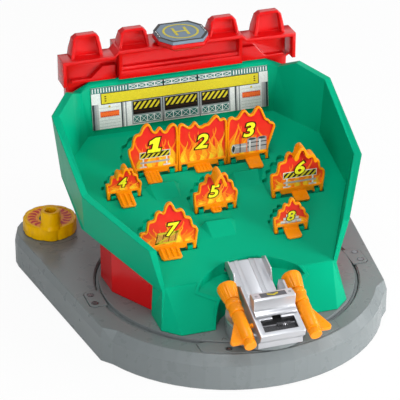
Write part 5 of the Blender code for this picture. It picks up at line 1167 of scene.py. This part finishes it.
def make_slider():
    """Thumb block whose front face runs down to a rounded lip."""
    low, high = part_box("slider_block")
    top, back, front = high.z, high.y, low.y
    face, inward = front + SLIDER_FACE, front + SLIDER_HOLLOW
    tail = low.z + (back - front) * tan(LAUNCH_SLOPE)
    lip = [(inward - 0.0008, low.z + 0.0037), (front + 0.0013, low.z + 0.0027), (front, low.z + 0.0014)]
    profile = hard([(back, top - 0.0010), (back - 0.0010, top), (face + 0.0012, top),
                    (face, top - 0.0012), (inward, low.z + 0.0058)])
    profile += [(*point, True) for point in lip]
    profile += hard([(front + 0.0002, low.z + 0.0002), (back, tail)])
    block = outline_mesh("block", [profile], high.x, SLIDER_EDGE, 5)
    add_piece("slider_look", block, "silver", "slider_block", sideways(), True)
    art = Print("slider_print")
    art.rect(*SLIDER_STICKER, "sticker")
    art.shape(CHEVRON, "gold", 1)
    for side in (-1, 1):
        art.ring((side * RIVET_AT[0], RIVET_AT[1]), RIVET_OUTER, RIVET_INNER, "sticker", 0, 16)
    art.build("slider_block", Matrix.Translation((0.0, face, top)))


# Marks in the deck and on the turntable
MARK_WIDTH = 0.0005
ARROW_RADIUS = 0.0275
ARROW_FROM = 236.0
ARROW_TO = 312.0
ARROW_STEPS = 16
ARROW_BACK = 0.0035
ARROW_OUT = 0.0028
POINTER_TIP = (-0.0360, -0.0960)
POINTER_OUT = 0.0022
POINTER_BACK = 0.0032


def make_base_marks():
    """Moulded lines in the deck, drawn as thin strips of painted shade: a turning arrow at the dial and a pointer
    on the turntable.
    """
    centre = joint_place("dial_turn")
    middle = Vector(centre[:2])
    lines = Print("deck_lines")
    turns = [ARROW_FROM + (ARROW_TO - ARROW_FROM) * k / ARROW_STEPS for k in range(ARROW_STEPS + 1)]
    arc = [Vector(on_circle(centre, ARROW_RADIUS, radians(turn))) for turn in turns]
    for start, end in zip(arc, arc[1:]):
        lines.line(start, end, MARK_WIDTH, "groove")
    for end, turn in ((arc[0], 1), (arc[-1], -1)):
        outwards = (end - middle).normalized()
        along = Vector((-outwards.y, outwards.x)) * turn
        for side in (-1, 1):
            lines.line(end, end + along * ARROW_BACK + outwards * side * ARROW_OUT, MARK_WIDTH, "groove", 1)
    lines.build("base_shell", raised(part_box("base_shell")[1].z))
    pointer = Print("turntable_pointer")
    tip = Vector(POINTER_TIP)
    for side in (-1, 1):
        pointer.line(tip, tip + Vector((side * POINTER_OUT, -POINTER_BACK)), MARK_WIDTH, "groove")
    pointer.build("turntable", raised(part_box("turntable")[1].z))


# The hollow under the slider, and a point of the rail that the slider runs on
RAIL_Y = -0.1173
RAIL_Z = 0.0583
CAVITY_HALF = 0.0146
CAVITY_REAR_Y = -0.0978
CAVITY_FRONT_Y = -0.1323
CAVITY_SINK = 0.0004
CAVITY_FLOOR = 0.004


def shade_cavity(obj):
    """Painted shade: the hollow under the slider is drawn darker than the painted shell round it."""
    obj.data.materials.append(MATERIALS["cavity"])
    floor = joint_place("launcher_swivel").z + CAVITY_FLOOR
    for face in obj.data.polygons:
        x, y, z = face.center
        within = abs(x) < CAVITY_HALF and CAVITY_FRONT_Y < y < CAVITY_REAR_Y
        rail = RAIL_Z + (y - RAIL_Y) * tan(LAUNCH_SLOPE)
        if within and floor < z < rail - CAVITY_SINK:
            face.material_index = 1


# CAD shapes that are shown with true rounded edges: (node, look, width of the rounding)
ROUNDED = (
    ("launcher_body", "silver", 0.0006),
    ("chute", "silver", 0.0003),
    ("back_wall", "red", 0.0008),
    ("landing_pod", "red", 0.0006),
)


def make_rounded():
    """Copies of plain CAD shapes, with their edges rounded."""
    for node, key, width in ROUNDED:
        obj = add_piece(node + "_look", rounded_copy(node, width), key, node, None, True, ROUNDED_SMOOTH)
        if node == "launcher_body":
            shade_cavity(obj)


# Stage: the world's strength for light on the object, and for what glossy faces reflect overhead
WORLD_COLOUR = (0.95, 0.97, 1.0, 1.0)
WORLD_LIGHT = 0.16
WORLD_GLOSSY = 1.2

# Lamps: (name, place, width and height, watts), all aimed at one point
LAMPS = (
    ("front left", (-1.1, -1.5, 0.5), (0.9, 0.7), 13.0),
    ("front right", (1.4, -1.2, 0.4), (0.9, 0.6), 34.0),
    ("overhead", (-0.1, -0.5, 1.6), (0.9, 0.9), 12.5),
    ("side", (1.6, 0.1, 0.7), (0.8, 0.8), 10.0),
    ("back", (0.6, 1.4, 0.9), (1.2, 0.7), 2.5),
)
LAMP_TARGET = (0.0, 0.0, 0.08)

# Floor: half its width, and the share of its look that glows for the camera alone
FLOOR_HALF = 4.0
FLOOR_GLOW = 0.93


def make_world():
    """Even light on the object, while glossy faces reflect a sky that grows brighter overhead."""
    world = bpy.data.worlds.new("studio")
    bpy.context.scene.world = world
    world.use_nodes = True
    tree = world.node_tree
    background = tree.nodes["Background"]
    background.inputs["Color"].default_value = WORLD_COLOUR
    split = tree.nodes.new("ShaderNodeSeparateXYZ")
    tree.links.new(tree.nodes.new("ShaderNodeTexCoord").outputs["Generated"], split.inputs["Vector"])
    glossy = tree.nodes.new("ShaderNodeLightPath").outputs["Is Glossy Ray"]
    sky = maths(tree, "MULTIPLY_ADD", split.outputs["Z"], WORLD_GLOSSY, -WORLD_LIGHT)
    tree.links.new(maths(tree, "MULTIPLY_ADD", glossy, sky, WORLD_LIGHT), background.inputs["Strength"])


def make_lamp(name, place, size, watts):
    light = bpy.data.lights.new(name, "AREA")
    light.shape = "RECTANGLE"
    light.size, light.size_y = size
    light.energy = watts
    obj = placed(name, light)
    obj.location = place
    obj.rotation_euler = (Vector(LAMP_TARGET) - obj.location).to_track_quat("-Z", "Y").to_euler()


def make_floor():
    """A pale table top that stays near white for the camera."""
    work = bmesh.new()
    bmesh.ops.create_grid(work, x_segments=2, y_segments=2, size=FLOOR_HALF)
    floor = placed("floor", mesh_from(work, "floor"))
    shader = Shader("floor")
    shader.mottle(shader.noise(FLOOR_NOISE), FLOOR_WHITE, 0.955, 0.975)
    shader.put("Roughness", 0.7)
    seen = shader.add("ShaderNodeLightPath").outputs["Is Camera Ray"]
    mix = shader.add("ShaderNodeMixShader")
    shader.link(maths(shader.tree, "MULTIPLY", seen, FLOOR_GLOW), mix.inputs["Fac"])
    shader.link(shader.surface.outputs["BSDF"], mix.inputs[1])
    shader.link(shader.add("ShaderNodeEmission").outputs["Emission"], mix.inputs[2])
    shader.link(mix.outputs["Shader"], shader.tree.nodes["Material Output"].inputs["Surface"])
    floor.data.materials.append(shader.material)


def make_stage():
    """The world, the lamps and the floor round the object."""
    bpy.context.scene.view_settings.view_transform = "Standard"
    make_world()
    for lamp in LAMPS:
        make_lamp(*lamp)
    make_floor()


def make_camera():
    """The photograph's camera."""
    data = bpy.data.cameras.new("camera")
    data.sensor_width = SENSOR
    data.lens = CAMERA_LENS
    data.clip_end = 20.0
    camera = placed("camera", data)
    line = Vector(CAMERA_LINE).normalized()
    right = line.cross(Vector((0.0, 0.0, 1.0))).normalized()
    up = right.cross(line)
    matrix = Matrix((right, up, -line)).transposed().to_4x4()
    matrix.translation = Vector(CAMERA_AT)
    camera.matrix_world = matrix
    bpy.context.scene.camera = camera


def plain(bounds):
    return [[float(value) for value in corner] for corner in bounds]


make_camera()
make_stage()
dress_cad()
make_rounded()
for flame in FLAMES:
    make_flame(flame)
make_facade()
make_pad_print()
make_dial()
make_nozzle(-1, "nozzle_left")
make_nozzle(1, "nozzle_right")
make_slider()
make_base_marks()
